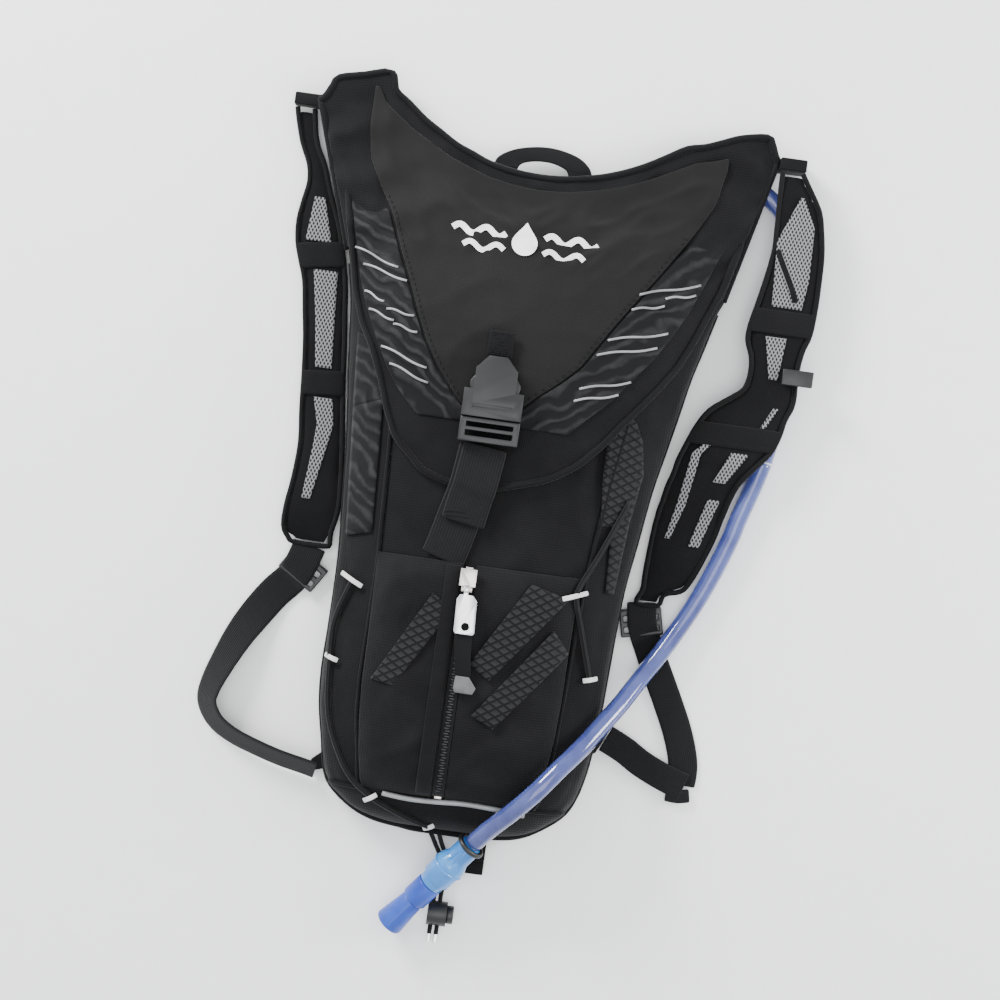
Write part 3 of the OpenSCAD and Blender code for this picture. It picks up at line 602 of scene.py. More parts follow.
HOSE_RADIUS = 5.25
HOSE_OUT = [(147.8, 25, 5.8), (144.5, 12, 5.8), (138.5, -8, 5.8), (135.5, -20, 5.8),
            (129.5, -38, 5.8), (122.8, -55, 5.8), (114.7, -72, 6), (105, -90, 8.5),
            (95, -106, 13.5), (85, -122, 22), (76, -134, 31), (66, -147, 41), (55, -160, 48),
            (44, -174, 50), (33, -187, 45), (22, -199, 37.5), (14, -209, 32)]
HOSE_HELD = [(150.3, 139, 5.8), (152, 115, 5.8), (152, 90, 5.8), (151, 60, 5.8), (150, 40, 5.8),
             (148, 26, 5.8)]


def route_length(route):
    return sum((Vector(b) - Vector(a)).length for a, b in zip(route, route[1:])) * MM


hose_line = curve_through(HOSE_OUT, 5)
hose_free = round_cord("drinking_hose_free", hose_line, HOSE_RADIUS)
finish_piece(hose_free, clear_hose, None, ["hose_free"])
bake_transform(hose_free)

held = round_cord("drinking_hose_on_strap", HOSE_HELD, HOSE_RADIUS, per=5)
finish_piece(held, clear_hose, "strap_right", ["hose_held"])
print("hose:", round(route_length(hose_line), 3), "m free")

# %% [markdown]
# The elastic at the foot of the pack ends in two strands that pass through a
# cord lock and are tipped with metal. They lie free on the floor.

# %% Cord tails
LOCK_Z = 7.6
tails = []
for k, x in enumerate((-3.4, 0.4)):
    line = curve_through([(x - 7 + k, -209.5, 8), (x - 3, -217, 4.4), (x + 2.4, -227, 2),
                          (x + 1.8, -235, 3.2), (x, -242, LOCK_Z), (x, -254, LOCK_Z),
                          (x, -267, LOCK_Z)], 4)
    strand = round_cord(f"cord_tail_{k + 1}", line, 1.3, around=8)
    strand = finish_piece(strand, side_cord, "pack", ["cord_tail"])
    tip = round_cord(f"cord_tip_{k + 1}", [(x, -266.4, LOCK_Z), (x, -267.2, LOCK_Z),
                                           (x, -270.6, LOCK_Z), (x, -271, LOCK_Z)], 1.5, around=12)
    finish_piece(tip, bright_metal, "pack", smooth_angle=30)
    tails.append((strand, tip, line))
print("cord tails:", len(tails))

# %% [markdown]
# ## The body of the bag
#
# Four panels make the shell: a front, two sides and a foot. They are sewn with
# the seam allowance turned in, which leaves a raised line of piping. Nearly
# empty cloth never lies smooth, so each panel gets wide soft folds and a few
# pinched ones that run away from where it is pulled.

# %% Shell panels
def on_body(u, y, out):
    return Vector((middle(y) + u * (half(y) + out), y, section_z(u, y, out)))


def wrinkled(p, amount, seed):
    p.z += amount * (0.55 * crease(p.x, p.y, 34, seed, 1.5)
                     + 0.7 * sharp_fold(p.x + 0.4 * p.y, p.y, 46, seed + 3) - 0.35)
    return p


def front_place(s, t):
    u, y = -0.7 + 1.4 * s, -186 + 284 * t
    edge = min(1.0, (1 - abs(2 * s - 1)) * 9)
    return wrinkled(on_body(u, y, -0.2), 2.6 * edge, 1.0)


front = cloth("front_panel_cloth", 44, 84, front_place)
finish_piece(front, shell_cloth, "pack", ["front_panel"])


def side_place(sign):
    def place(s, t):
        q = s if sign > 0 else 1 - s
        u = sign * (0.7 + 0.3 * (1 - (1 - q) ** 1.8))
        y = -187 + 300 * t
        p = on_body(u, y, 0.0)
        push = 1.1 * crease(y * 0.6, p.z * 2.5, 16, 5.0 * sign) * math.sin(math.pi * min(q, 0.98))
        p.x += sign * push * 0.7
        p.z += push * 0.5
        return p
    return place


for sign, side in SIDES:
    panel = cloth(f"side_panel_{side}_cloth", 14, 90, side_place(sign))
    finish_piece(panel, shell_cloth, "pack", [f"side_panel_{side}"])


def foot_place(s, t):
    u = math.sin((s - 0.5) * math.pi)
    y = -207 + 21 * (1 - (1 - t) ** 1.5)
    p = on_body(u, y, 0)
    p.z += 0.7 * crease(p.x, p.y, 22, 9) * (1 - abs(u)) * math.sin(math.pi * t)
    return p


foot = cloth("foot_panel_cloth", 56, 10, foot_place)
finish_piece(foot, shell_cloth, "pack", ["bottom_gusset"])
print("shell: a front, two sides and a foot")

# %% [markdown]
# The piping along the seams catches light as a thin line, and the bound edge
# round the whole bag is a thicker roll.

# %% Piping and bound edge
def seam_line(u, y0, y1, out, n=50):
    return [tuple(on_body(u, y0 + (y1 - y0) * k / n, out)) for k in range(n + 1)]


seams = [round_cord(f"seam_{k}", seam_line(u, -186, 96, 0.7), 1.15, around=8)
         for k, u in enumerate((-0.705, 0.705))]
foot_seam = round_cord("seam_foot", [tuple(on_body(-0.97 + 1.94 * k / 60, -187, 0.7))
                                     for k in range(61)], 1.1, around=8)
seam_piece = joined("seam_piping", seams + [foot_seam])
finish_piece(seam_piece, edge_cloth, "pack")

rim = [(x + 1.2, y, 7.8) for y, x in reversed(EDGE_L) if y < 126]
rim += [(x * 0.5, -208.0, 7.8) for x in (-40, -10, 20)]
rim += [(x - 1.2, y, 7.8) for y, x in EDGE_R if y < 126]
edge_roll = round_cord("bound_edge", curve_through(rim, 4), 2.2, around=10)
finish_piece(edge_roll, edge_cloth, "pack", ["edge_binding"])
print("seams piped:", len(seams) + 1, "and the edge bound")

# %% [markdown]
# Two printed patches break up the sides: slanting ridges on the left and a
# honeycomb on the right. A patch is a small grid stretched between four corners
# and laid just over the cloth below it. It could be painted with a mask, but a
# separate layer gives the patch its own edge, as the real one has.

# %% Patches
def patch(name, corners, surface, lift, cols=10, rows=20, wall=0.4):
    a, b, c, d = [Vector(p) for p in corners]

    def place(s, t):
        p = a.lerp(b, s).lerp(d.lerp(c, s), t)
        return (p.x, p.y, surface(p.x, p.y) + lift)
    return cloth(name, cols, rows, place, wall=wall, levels=0)


def side_height(x, y):
    return body_z(x, y, 1.0)


left_patch = joined("side_ridges_left", [
    patch("ridges_a", [(-81, -48), (-66, -44), (-70, 30), (-87, 24)], side_height, 0.6),
    patch("ridges_b", [(-87, 24), (-70, 30), (-76, 62), (-90, 66)], side_height, 0.6)])
finish_piece(left_patch, ridge_left, "pack")
right_patch = joined("side_honeycomb_right", [
    patch("comb_a", [(60, -24), (76, -20), (80, 8), (57, 6)], side_height, 0.6),
    patch("comb_b", [(57, 6), (80, 8), (77, 26), (57, 28)], side_height, 0.6, rows=10),
    patch("comb_c", [(57, 28), (77, 26), (72, 36), (66, 42)], side_height, 0.6, rows=8),
    patch("comb_d", [(68, -60), (73, -60), (76, -20), (66, -22)], side_height, 0.6, cols=4)])
finish_piece(right_patch, honeycomb, "pack")
print("side patches:", left_patch.name, right_patch.name)

# %% [markdown]
# ## The front pocket
#
# The pocket is a second layer that stands about 8 mm off the front panel, low at
# its seams and flat over its middle, split by a zip. Its cloth puckers beside
# the zip, where the tape is a little shorter than the cloth.

# %% Pocket halves
POCKET_X, POCKET_WIDE = -4, 0.7
POCKET_LOW, POCKET_TOP = -186, -54
ZIP_X, ZIP_LOW = -9, -185


def pocket_rise(x, y):
    s, v = (x - POCKET_X) / (POCKET_WIDE * half(y)), (y + 120) / 66
    return 1.8 + 6.8 * max(0, 1 - abs(s) ** 8) * max(0, 1 - abs(v) ** 14)


def pocket_z(x, y, up=0.0):
    return body_z(x, y, pocket_rise(x, y) + up)


def on_pocket(x, y):
    """True where the pocket lies below the point"""
    return POCKET_LOW < y < POCKET_TOP and abs(x - POCKET_X) < POCKET_WIDE * half(y)


def pocket_place(sign):
    def place(s, t):
        y = POCKET_LOW + (POCKET_TOP - POCKET_LOW) * (0.5 - 0.5 * math.cos(math.pi * t))
        near, far = POCKET_X - 1.4, POCKET_X + POCKET_WIDE * half(y)
        if sign < 0:
            near, far = POCKET_X - 8.6, POCKET_X - POCKET_WIDE * half(y)
        q = s if sign > 0 else 1 - s
        x = near + (far - near) * q
        free = min(1.0, 6 * q) * min(1.0, 5 * (1 - q)) * math.sin(math.pi * t) ** 0.5
        z = pocket_z(x, y)
        z += free * (1.5 * crease(x, y, 26, 4 + sign)
                     + 1.9 * sharp_fold(x - 0.7 * y, y, 40, 2) - 0.9)
        z += 0.35 * math.sin(y * 0.9) * max(0, 1 - 7 * q)
        return (x, y, z)
    return place


for sign, side in SIDES:
    half_pocket = cloth(f"pocket_{side}_cloth", 34, 60, pocket_place(sign))
    finish_piece(half_pocket, shell_cloth, "pack", [f"pocket_{side}"])

prints = joined("pocket_honeycomb", [
    patch("print_a", [(-55, -124), (-42, -126), (-15, -80), (-27, -72)], pocket_z, 1.3, 10, 24),
    patch("print_b", [(-2, -108), (10, -116), (48, -66), (26, -60)], pocket_z, 1.3, 12, 26),
    patch("print_c", [(3, -136), (16, -142), (52, -96), (42, -84)], pocket_z, 1.3, 12, 26)])
finish_piece(prints, honeycomb, "pack")


def placket_place(s, t):
    x, y = -22 + 8.6 * s, ZIP_LOW + 130 * t
    up = 1.5 + 0.8 * math.sin(math.pi * s) + 0.3 * crease(0, 130 * t, 14, 8)
    return (x, y, pocket_z(x, y, up))


placket = cloth("zip_placket_fold", 5, 60, placket_place, wall=1.0)
finish_piece(placket, edge_cloth, "pack", ["zip_placket"])
print("pocket: two halves, the prints and the fold beside the zip")

# %% [markdown]
# ## Zip
#
# A coil zip is a row of small nylon teeth sewn to two tapes. One tooth is made
# and copied with the Array modifier, which is how one would do it by hand. The
# row is then laid over the pocket's curve point by point.

# %% Zip tape and teeth
TOOTH_PITCH = 1.5
FIRST_TOOTH = -181


def tape_place(s, t):
    y = ZIP_LOW + 128 * t
    return (-12.3 + 6.6 * s, y, pocket_z(ZIP_X, y, -0.3))


tape = cloth("zip_tape_cloth", 4, 70, tape_place, wall=0.6, levels=0)
finish_piece(tape, tape_web, "pack", ["zip_tape"])

bpy.ops.mesh.primitive_cube_add(size=1)
teeth = bpy.context.active_object
teeth.name = "zip_teeth"
for v in teeth.data.vertices:
    v.co = Vector((v.co.x * 2.6, v.co.y * 0.8, v.co.z * 1.1)) * MM
apply_modifier(teeth, "BEVEL", width=0.25 * MM, segments=2)
apply_modifier(teeth, "ARRAY", count=82, use_relative_offset=False, use_constant_offset=True,
               constant_offset_displace=(0, TOOTH_PITCH * MM, 0))
for v in teeth.data.vertices:
    x, y = v.co.x / MM, v.co.y / MM
    row = round(y / TOOTH_PITCH)
    v.co = Vector((ZIP_X + x + (0.35 if row % 2 else -0.35), FIRST_TOOTH + y,
                   pocket_z(ZIP_X, FIRST_TOOTH + y) + v.co.z / MM)) * MM
finish_piece(teeth, black_plastic, "pack", ["zip_coil"], smooth_angle=40)
print("zip teeth:", len(teeth.data.vertices), "points")

# %% [markdown]
# ## The yoke over the shoulders
#
# The yoke joins both shoulder ends. It is padded a little and creased where the
# straps pull on it: long folds run from the middle out to each shoulder. Its
# grid fans out from a straight lower edge to the curve of the neck.

# %% Yoke
YOKE_LOW, YOKE_HIGH = 13.8, 36
YOKE_Y = 112


def yoke_dome(u, y):
    """The yoke's height at share u of its half width"""
    return YOKE_LOW + (min(look(y, CROWN), YOKE_HIGH) - YOKE_LOW) * dome(0.985 * u)


def yoke_z(x, y):
    return yoke_dome((x - 1) / (103 + 28 * unit((y - YOKE_Y) / 80) + 4), y)


def yoke_fold(x, y):
    """Long folds that run out to each shoulder from the middle"""
    fan = math.sin(x * 0.10 + y * 0.21 * (1 if x > 0 else -1))
    return (2.4 * sharp_fold(x, y - abs(x) * 0.55, 30, 6, 0.6) + 1.2 * crease(x, y, 30, 7)
            + 1.0 * fan * min(1, abs(x) / 60) - 0.8)


def yoke_place(s, t):
    k = s * (len(NECK) - 1)
    i = min(int(k), len(NECK) - 2)
    n = Vector(NECK[i]).lerp(Vector(NECK[i + 1]), k - i)
    p = Vector((-103 + 215 * s, YOKE_Y)).lerp(n, t)
    free = min(1, 5 * (1 - t)) * min(1, 4 * t)
    return (p.x, p.y, yoke_dome(2 * s - 1, p.y) + free * yoke_fold(p.x, p.y) - 0.2)


yoke = cloth("yoke_cloth", 90, 36, yoke_place, wall=2.0)
finish_piece(yoke, shell_cloth, "pack", ["yoke"])

neck_line = curve_through([(x, y - 1.2) for x, y in NECK], 3)
neck_line = [(x, y, yoke_dome(2 * k / (len(neck_line) - 1) - 1, y) - 0.6)
             for k, (x, y) in enumerate(neck_line)]
neck_roll = round_cord("neck_bound_edge", neck_line, 2.0, around=10)
finish_piece(neck_roll, edge_cloth, "pack")
for side, low, high in (("left", (-103, YOKE_Y, 13.4), (-130, 195, 13.4)),
                        ("right", (112, YOKE_Y, 13.4), (132, 196, 13.4))):
    roll = round_cord(f"shoulder_edge_{side}", even_points(low, high, 20), 1.9, around=10)
    finish_piece(roll, edge_cloth, "pack")
print("yoke:", len(yoke.data.vertices), "points")

# %% [markdown]
# ## The flap
#
# The flap is a whole shield of cloth that hangs from the yoke over the mouth of
# the bag. Three layers show: a smooth charcoal middle that runs on up to the
# neck, a ridged band with reflective strokes on each side, and a wide bound
# edge. At the top the cloth is tucked under the yoke's layer, so it meets it
# with no break.

# %% Flap surfaces
FLAP_L = [(-11.5, -16), (-11, -26), (-9.5, -33), (-6, -42), (1, -50), (10, -60), (25, -67),
          (42, -73), (58, -80), (72, -88), (88, -94), (110, -99), (130, -104), (150, -108)]
FLAP_R = [(-11.5, -6), (-9, 5), (-5, 20), (1, 32), (9, 43), (22, 55), (29, 60), (42, 70), (55, 80),
          (70, 90), (85, 97), (98, 102), (118, 110), (150, 118)]
SHIELD_L = [(26, -14), (30, -22), (36, -29), (42, -34), (52, -42), (65, -50), (80, -57), (97, -64),
            (115, -72), (135, -80), (150, -89), (165, -97), (185, -100)]
SHIELD_R = [(26, -4), (30, 0), (36, 8), (42, 14), (52, 26), (62, 36), (75, 44), (88, 52), (103, 62),
            (118, 72), (135, 83), (150, 92), (165, 100), (185, 104)]
NECK_Y = sorted((x, y) for x, y in NECK)


def flap_z(x, y, up=0.0):
    over = body_z(x, y, 4.2)
    rest = yoke_z(x, y) + 1.4
    share = unit((y - 102) / 9)
    z = over + (max(over, rest) - over) * share
    if y > 138:
        z += (rest - z) * min(1, (y - 138) / 12)
    near_neck = unit((look(x, NECK_Y) - 9 - y) / 14)
    z += near_neck * unit((y - YOKE_Y) / 12) * max(-0.4, yoke_fold(x, y))
    soft = unit((y + 6) / 16) * unit((150 - y) / 20)
    return z + up + soft * (0.9 * crease(x, y, 44, 11)
                            + 1.3 * sharp_fold(x - 0.3 * y, y, 52, 12) - 0.4)


TUCK = 3.4


def between(left, right, y0, y1, power=1.0, up=0.0, top=None, tuck=TUCK):
    """Places a grid between two edge tables, tucked under the yoke's layer at its top"""
    def place(s, t):
        y = y0 + (y1 - y0) * t ** power
        x = look(y, left) + (look(y, right) - look(y, left)) * s
        if top:
            y = y0 + (top(x) - y0) * t ** power
            x = look(y, left) + (look(y, right) - look(y, left)) * s
        under = unit((y - 126) / 18)
        return (x, y, flap_z(x, y, up) - tuck * under * under * (3 - 2 * under))
    return place


def on_flap(piece, mat, replaced=(), smooth_angle=None):
    finish_piece(piece, mat, None, replaced, smooth_angle)
    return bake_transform(piece)


flap_base = cloth("flap_base_cloth", 60, 66,
                  between(FLAP_L, FLAP_R, -11.5, 152, 1.2, -1.2), wall=1.2)
on_flap(flap_base, edge_cloth, ["flap_binding"])
shield = cloth("flap_shield_cloth", 56, 70,
               between(SHIELD_L, SHIELD_R, 26, 160, 1.0, 0.5,
                       top=lambda x: look(x, NECK_Y) - 8.5, tuck=0.3), wall=1.2)
on_flap(shield, shield_cloth, ["flap_panel"])

BAND_L = [(24, -50), (28, -54), (36, -62), (46, -69), (58, -76), (70, -82), (85, -89), (98, -93.5),
          (112, -97), (128, -101), (150, -108)]
BAND_R = [(24, 34), (35, 45), (46, 56), (58, 65), (72, 76), (85, 84), (100, 92), (117, 99),
          (130, 104), (150, 112)]
band_l = cloth("flap_band_left_cloth", 14, 50,
               between(BAND_L, [(y, x - 1.5) for y, x in SHIELD_L], 24, 148, 1, 0.1), wall=0.8)
on_flap(band_l, ridge_left)
band_r = cloth("flap_band_right_cloth", 14, 50,
               between([(y, x + 1.5) for y, x in SHIELD_R], BAND_R, 24, 148, 1, 0.1), wall=0.8)
on_flap(band_r, ridge_right)
print("flap layers:", flap_base.name, shield.name, band_l.name, band_r.name)

# %% [markdown]
# A rolled binding goes round the flap, and a fine line of stitches follows each
# side of the shield.

# %% Flap edge and stitch lines
outline = [(look(y, FLAP_L), y) for y in range(150, -12, -6)]
outline += [(-26, -11), (-16, -11.6), (-6, -11.4)]
outline += [(look(y, FLAP_R), y) for y in range(-9, 151, 6)]
flap_roll = round_cord("flap_bound_edge", curve_through(
    [(x, y, flap_z(x * 0.995, y, -0.9) - TUCK * unit((y - 128) / 16))
     for x, y in outline], 2), 1.9, around=10)
on_flap(flap_roll, edge_cloth)


def stitches(name, line, pitch=3.2, length=2.0, radius=0.28):
    """Short thread strokes along a line of points"""
    made, run = [], 0.0
    for a, b in zip(line, line[1:]):
        a, b = Vector(a), Vector(b)
        run += (b - a).length
        if run >= pitch:
            run = 0.0
            d = (b - a).normalized() * length / 2
            made.append(round_cord("stitch", [tuple(a - d), tuple(a), tuple(a + d)], radius,
                                   around=5))
    return joined(name, made)


def shield_side(table, inset, rows):
    """A line of points just inside one edge of the shield"""
    return [(look(y, table) + inset, y, flap_z(look(y, table) + inset, y, 0.75)) for y in rows]


shield_stitch = joined("shield_stitching", [
    stitches("stitch_l", shield_side(SHIELD_L, 2.2, range(146, 30, -1))),
    stitches("stitch_r", shield_side(SHIELD_R, -2.2, range(30, 146)))])
on_flap(shield_stitch, tape_web)
print("flap bound and stitched")

# %% [markdown]
# The reflective strokes are thin printed bars that slant across each band, two
# or three to a group.

# %% Reflective strokes
STROKES = [(-98, 113, -72, 104), (-92, 104, -66, 97), (-89, 89, -77, 84), (-75, 80, -59, 78),
           (-85, 79, -70, 74), (-70, 72, -56, 69), (-75, 59, -48, 50), (-69, 50, -46, 42),
           (63, 107, 97, 118), (78, 107, 95, 112), (60, 98, 78, 103), (49, 79, 82, 88),
           (44, 70, 77, 79), (37, 50, 65, 58), (35, 43, 59, 50)]
bars = []
for x0, y0, x1, y1 in STROKES:
    line = [(x, y + 0.7 * math.sin(k * 0.8), flap_z(x, y, 0.5))
            for k, (x, y) in enumerate(even_points((x0, y0), (x1, y1), 8))]
    bars.append(ribbon("bar", line, 1.25, 0.5, rows=10, levels=0, cols=2))
strokes = joined("reflective_strokes", bars)
on_flap(strokes, reflective, ["flap_dashes"])
print("reflective strokes:", len(bars))

# %% [markdown]
# The mark on the shield is a plain water drop between wave lines, which any
# water pack could carry. It is raised print: a filled circle is pulled into a
# drop, extruded, and laid on the cloth.

# %% Water mark
def wave_line(x0, x1, y, height, thick):
    line = [(x, y + height * math.sin((x - x0) * 0.42), flap_z(x, y, 0.9))
            for x in [x0 + (x1 - x0) * k / 24 for k in range(25)]]
    return ribbon("wave", line, thick, 0.5, rows=40, levels=0, cols=2)


bpy.ops.mesh.primitive_circle_add(vertices=48, radius=1, fill_type="NGON")
drop = bpy.context.active_object
bpy.ops.object.mode_set(mode="EDIT")
bpy.ops.mesh.inset(thickness=0.3, depth=0)
bpy.ops.mesh.select_all(action="SELECT")
bpy.ops.mesh.extrude_region_move(TRANSFORM_OT_translate={"value": (0, 0, 0.08)})
bpy.ops.object.mode_set(mode="OBJECT")
for v in drop.data.vertices:
    x, y, top = v.co.x, v.co.y, v.co.z
    pull = max(0.0, y) ** 3
    v.co = Vector((-4 + 7.2 * x * (1 - 0.75 * pull), 127 + 7.2 * y + 4.5 * pull, 0))
    v.co.z = flap_z(v.co.x, v.co.y, 0.9 + 7 * top)
    v.co *= MM
mark = joined("water_mark", [
    drop, wave_line(-45, -15, 131, 2.2, 3.4), wave_line(-38, -15, 122, 2.0, 3.0),
    wave_line(7, 37, 131, 2.2, 3.4), wave_line(7, 30, 122, 2.0, 3.0)])
on_flap(mark, white_print, ["flap_emblem"], 40)
print("water mark:", len(mark.data.vertices), "points")

# %% [markdown]
# ## Hard parts made finer
#
# The solids of the buckle, the locks, the slider and the valve already have the
# right form and fits, but their edges are knife sharp. Each is copied, its small
# triangles are dissolved to clean faces, and a Bevel modifier rounds the edges.
# Rounded edges catch the light, which is most of what makes plastic look
# moulded.

# %% Refined copies
def refined(node, mat, width=0.35, segments=2):
    source = frame["nodes"][node]
    body = source["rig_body"]
    bpy.ops.object.select_all(action="DESELECT")
    source.select_set(True)
    bpy.context.view_layer.objects.active = source
    bpy.ops.object.duplicate()
    piece = bpy.context.active_object
    piece.parent = None
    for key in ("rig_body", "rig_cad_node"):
        if key in piece:
            del piece[key]
    piece.name = piece.data.name = f"{node}_moulded"
    bpy.ops.object.mode_set(mode="EDIT")
    bpy.ops.mesh.select_all(action="SELECT")
    bpy.ops.mesh.remove_doubles(threshold=WELD)
    bpy.ops.mesh.dissolve_limited(angle_limit=math.radians(2))
    bpy.ops.object.mode_set(mode="OBJECT")
    apply_modifier(piece, "BEVEL", width=width * MM, segments=segments, limit_method="ANGLE",
                   angle_limit=math.radians(35), use_clamp_overlap=True)
    return finish_piece(piece, mat, body, [node], smooth_angle=50)


made_hard = {}
for node, width in (
        ("buckle_female", 0.8), ("buckle_male", 0.5), ("prong_left", 0.4), ("prong_right", 0.4),
        ("ladder_lock_left", 0.8), ("ladder_lock_right", 0.8), ("sternum_clip", 0.5),
        ("cord_lock_body", 0.8), ("cord_lock_button", 0.8), ("bladder_hanger", 0.5),
        ("bladder_elbow", 0.3)):
    made_hard[node] = refined(node, black_plastic, width)
for node, mat, slot_name, width in (
        ("zip_slider", nickel, "metal", 0.3), ("zip_pull", bright_metal, "metal", 0.4),
        ("zip_stops", nickel, "metal", 0.2), ("zip_badge", badge_grey, "reflective", 0.4),
        ("valve_body", valve_plastic, "valve_blue", 0.5),
        ("bite_mouthpiece", bite_rubber, "bite_blue", 0.9),
        ("bladder_cap", valve_plastic, "valve_blue", 0.5),
        ("bladder_neck", valve_plastic, "valve_blue", 0.3)):
    made_hard[node] = refined(node, mat, width)
print("hard parts refined:", len(made_hard))

# %% [markdown]
# For each cord tail, the pieces on it are gathered into a list: its metal tip,
# and on the first tail also the cord lock.

for strand, tip, line in tails:
    on_it = [tip]
    if strand is tails[0][0]:
        on_it += [made_hard["cord_lock_body"], made_hard["cord_lock_button"]]
print("cords declared:", 1 + len(tails))

# %% [markdown]
# ## Strap and tab on the buckle
#
# The buckle's web is one strap that comes out from under the pocket seam, goes
# up through the ladder and folds back over itself, so two layers lie on each
# other.

# %% Buckle strap
TOP = 47.1
UNDER = [(-25, -53.4, 0), (-22.5, -45, 0), (-19, -30, .4), (-16, -18, 2.6), (-14.5, -11, 4.9),
         (-13, 0, 4.9), (-11.8, 11.3, 5.6)]
OVER = [(-16.5, -32, 2.6), (-14, -18, 4.6), (-12.5, -11, 6.7), (-11, 0, 6.8), (-9.6, 11.3, 7.4)]
layers = [ribbon(f"web_{k}", [(x, y, TOP + z) for x, y, z in curve_through(route, 4)], 25, 1.4,
                 rows=24, levels=1, crown=0.3) for k, route in enumerate((UNDER, OVER))]
bars_line = [ribbon("web_stitch", [(x - 11, y, TOP + z + 0.95), (x, y + 0.2, TOP + z + 1.2),
                                   (x + 11, y, TOP + z + 0.95)], 0.7, 0.3, rows=6, levels=0, cols=2)
             for x, y, z in ((-16.2, -28.5, 2.9), (-15.9, -26, 3.2))]
web = joined("buckle_strap_web", layers + bars_line)
finish_piece(web, strap_web, "pack", ["front_strap"])
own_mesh(web)

bpy.ops.mesh.primitive_cube_add(size=1)
tab = bpy.context.active_object
tab.name = "buckle_sewn_tab"
for v in tab.data.vertices:
    v.co = Vector((-9 + 14 * v.co.x, 68.6 + 14 * v.co.y, 52.8 + 2.4 * v.co.z)) * MM
apply_modifier(tab, "BEVEL", width=0.8 * MM, segments=3)
tab_parts = [tab]
for x0, y0, x1, y1 in ((-14.5, 63.5, -3.5, 63.5), (-14.5, 74, -3.5, 74), (-14.5, 63.5, -3.5, 74),
                       (-3.5, 63.5, -14.5, 74)):
    line = even_points((x0, y0, 54.0), (x1, y1, 54.0), 12)
    tab_parts.append(stitches("tab_stitch", line, 1.6, 1.1, 0.3))
tab = joined("buckle_sewn_tab", tab_parts)
finish_piece(tab, edge_cloth, "flap", ["buckle_tab"])
print("buckle strap and tab made")

# %% [markdown]
# ## Shoulder straps
#
# A strap is a foam pad in cloth. The pads are inflated by a short cloth
# simulation: the shape is remeshed evenly, blown up from inside, and held so
# that no point moves more than 1.2 mm. That gives soft shoulders at the edge,
# which a plain bevel would not.

# %% Strap pads
PAD_L = [(189.5, -131.5, -144.5, .6), (183, -130.5, -143, .6), (170, -127.5, -139, .6),
         (158, -124, -133.5, .6), (148, -120.5, -132, .6), (138, -116.5, -133.5, .6),
         (126, -111.5, -135, .6), (114, -108, -134, .6), (104, -105.5, -131, .6),
         (92, -103, -127, .6), (76, -101, -124.5, .6), (60, -99, -122, .6), (40, -97, -120, .6),
         (20, -94.5, -118.5, .6), (0, -92, -116.5, .6), (-20, -90, -117.5, .6),
         (-36, -89.5, -119.5, .6), (-48, -89, -119.5, .6), (-54, -89, -116, .6),
         (-56.5, -90.5, -112, .6)]
PAD_R = [(189.5, 133.5, 148, 11.6), (183, 133.5, 152, 11.6), (170, 134, 160, 11.6),
         (158, 134.5, 163, 11.6), (145, 134.8, 165, 11.6), (130, 132.8, 165.5, 11.6),
         (115, 130, 165.5, 11.6), (100, 127, 164.5, 11.6), (92, 127, 162, 11.6),
         (84, 130, 160.5, 11.6), (75, 131, 160, 11.6), (65, 129, 160.5, 11.6), (58, 121, 160, 11.6),
         (50, 111, 157, 11.6), (40, 105, 155, 11.6), (30, 101, 151, 11.6), (20, 97.5, 143, 11.6),
         (12, 96, 137, 10), (5, 94, 134, 7), (-4, 92.5, 131.5, 4), (-12, 91, 129.6, 2),
         (-22, 90, 127.3, .6), (-36, 89, 122.5, .6), (-48, 88.5, 117.5, .6), (-54, 88.5, 113, .6),
         (-57, 88, 104, .6), (-64, 86, 101, .6)]
PAD_T = 7.0
INWARD = 2.6
PAD_L = [(y, x + (INWARD if -45 < y < 165 else 0), *rest) for y, x, *rest in PAD_L]


def pad_at(rows, y, column):
    return look(y, [(r[0], r[column]) for r in reversed(rows)])


def pad_top(rows, x, y, up=0.0):
    a, b = sorted((pad_at(rows, y, 1), pad_at(rows, y, 2)))
    q = min(1.0, abs(2 * (x - a) / (b - a) - 1))
    return pad_at(rows, y, 3) + PAD_T - 1.6 * q ** 4 + up


def inflate(piece, pressure, frames, cap):
    """Blows a closed piece up a little and keeps each point near where it was"""
    start = [v.co.copy() for v in piece.data.vertices]
    bpy.context.view_layer.objects.active = piece
    puff = piece.modifiers.new("puff", "CLOTH")
    puff.settings.use_pressure = True
    puff.settings.uniform_pressure_force = pressure
    puff.settings.effector_weights.gravity = 0
    puff.settings.mass = 0.3
    puff.settings.quality = 5
    puff.point_cache.frame_end = frames
    scene = bpy.context.scene
    for f in range(1, frames + 1):
        scene.frame_set(f)
    bpy.ops.object.modifier_apply(modifier="puff")
    scene.frame_set(1)
    for v, was in zip(piece.data.vertices, start):
        move = v.co - was
        if move.length > cap * MM:
            v.co = was + move.normalized() * cap * MM


def on_strap(piece, mat, replaced=()):
    finish_piece(piece, mat, None, replaced)
    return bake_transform(piece)


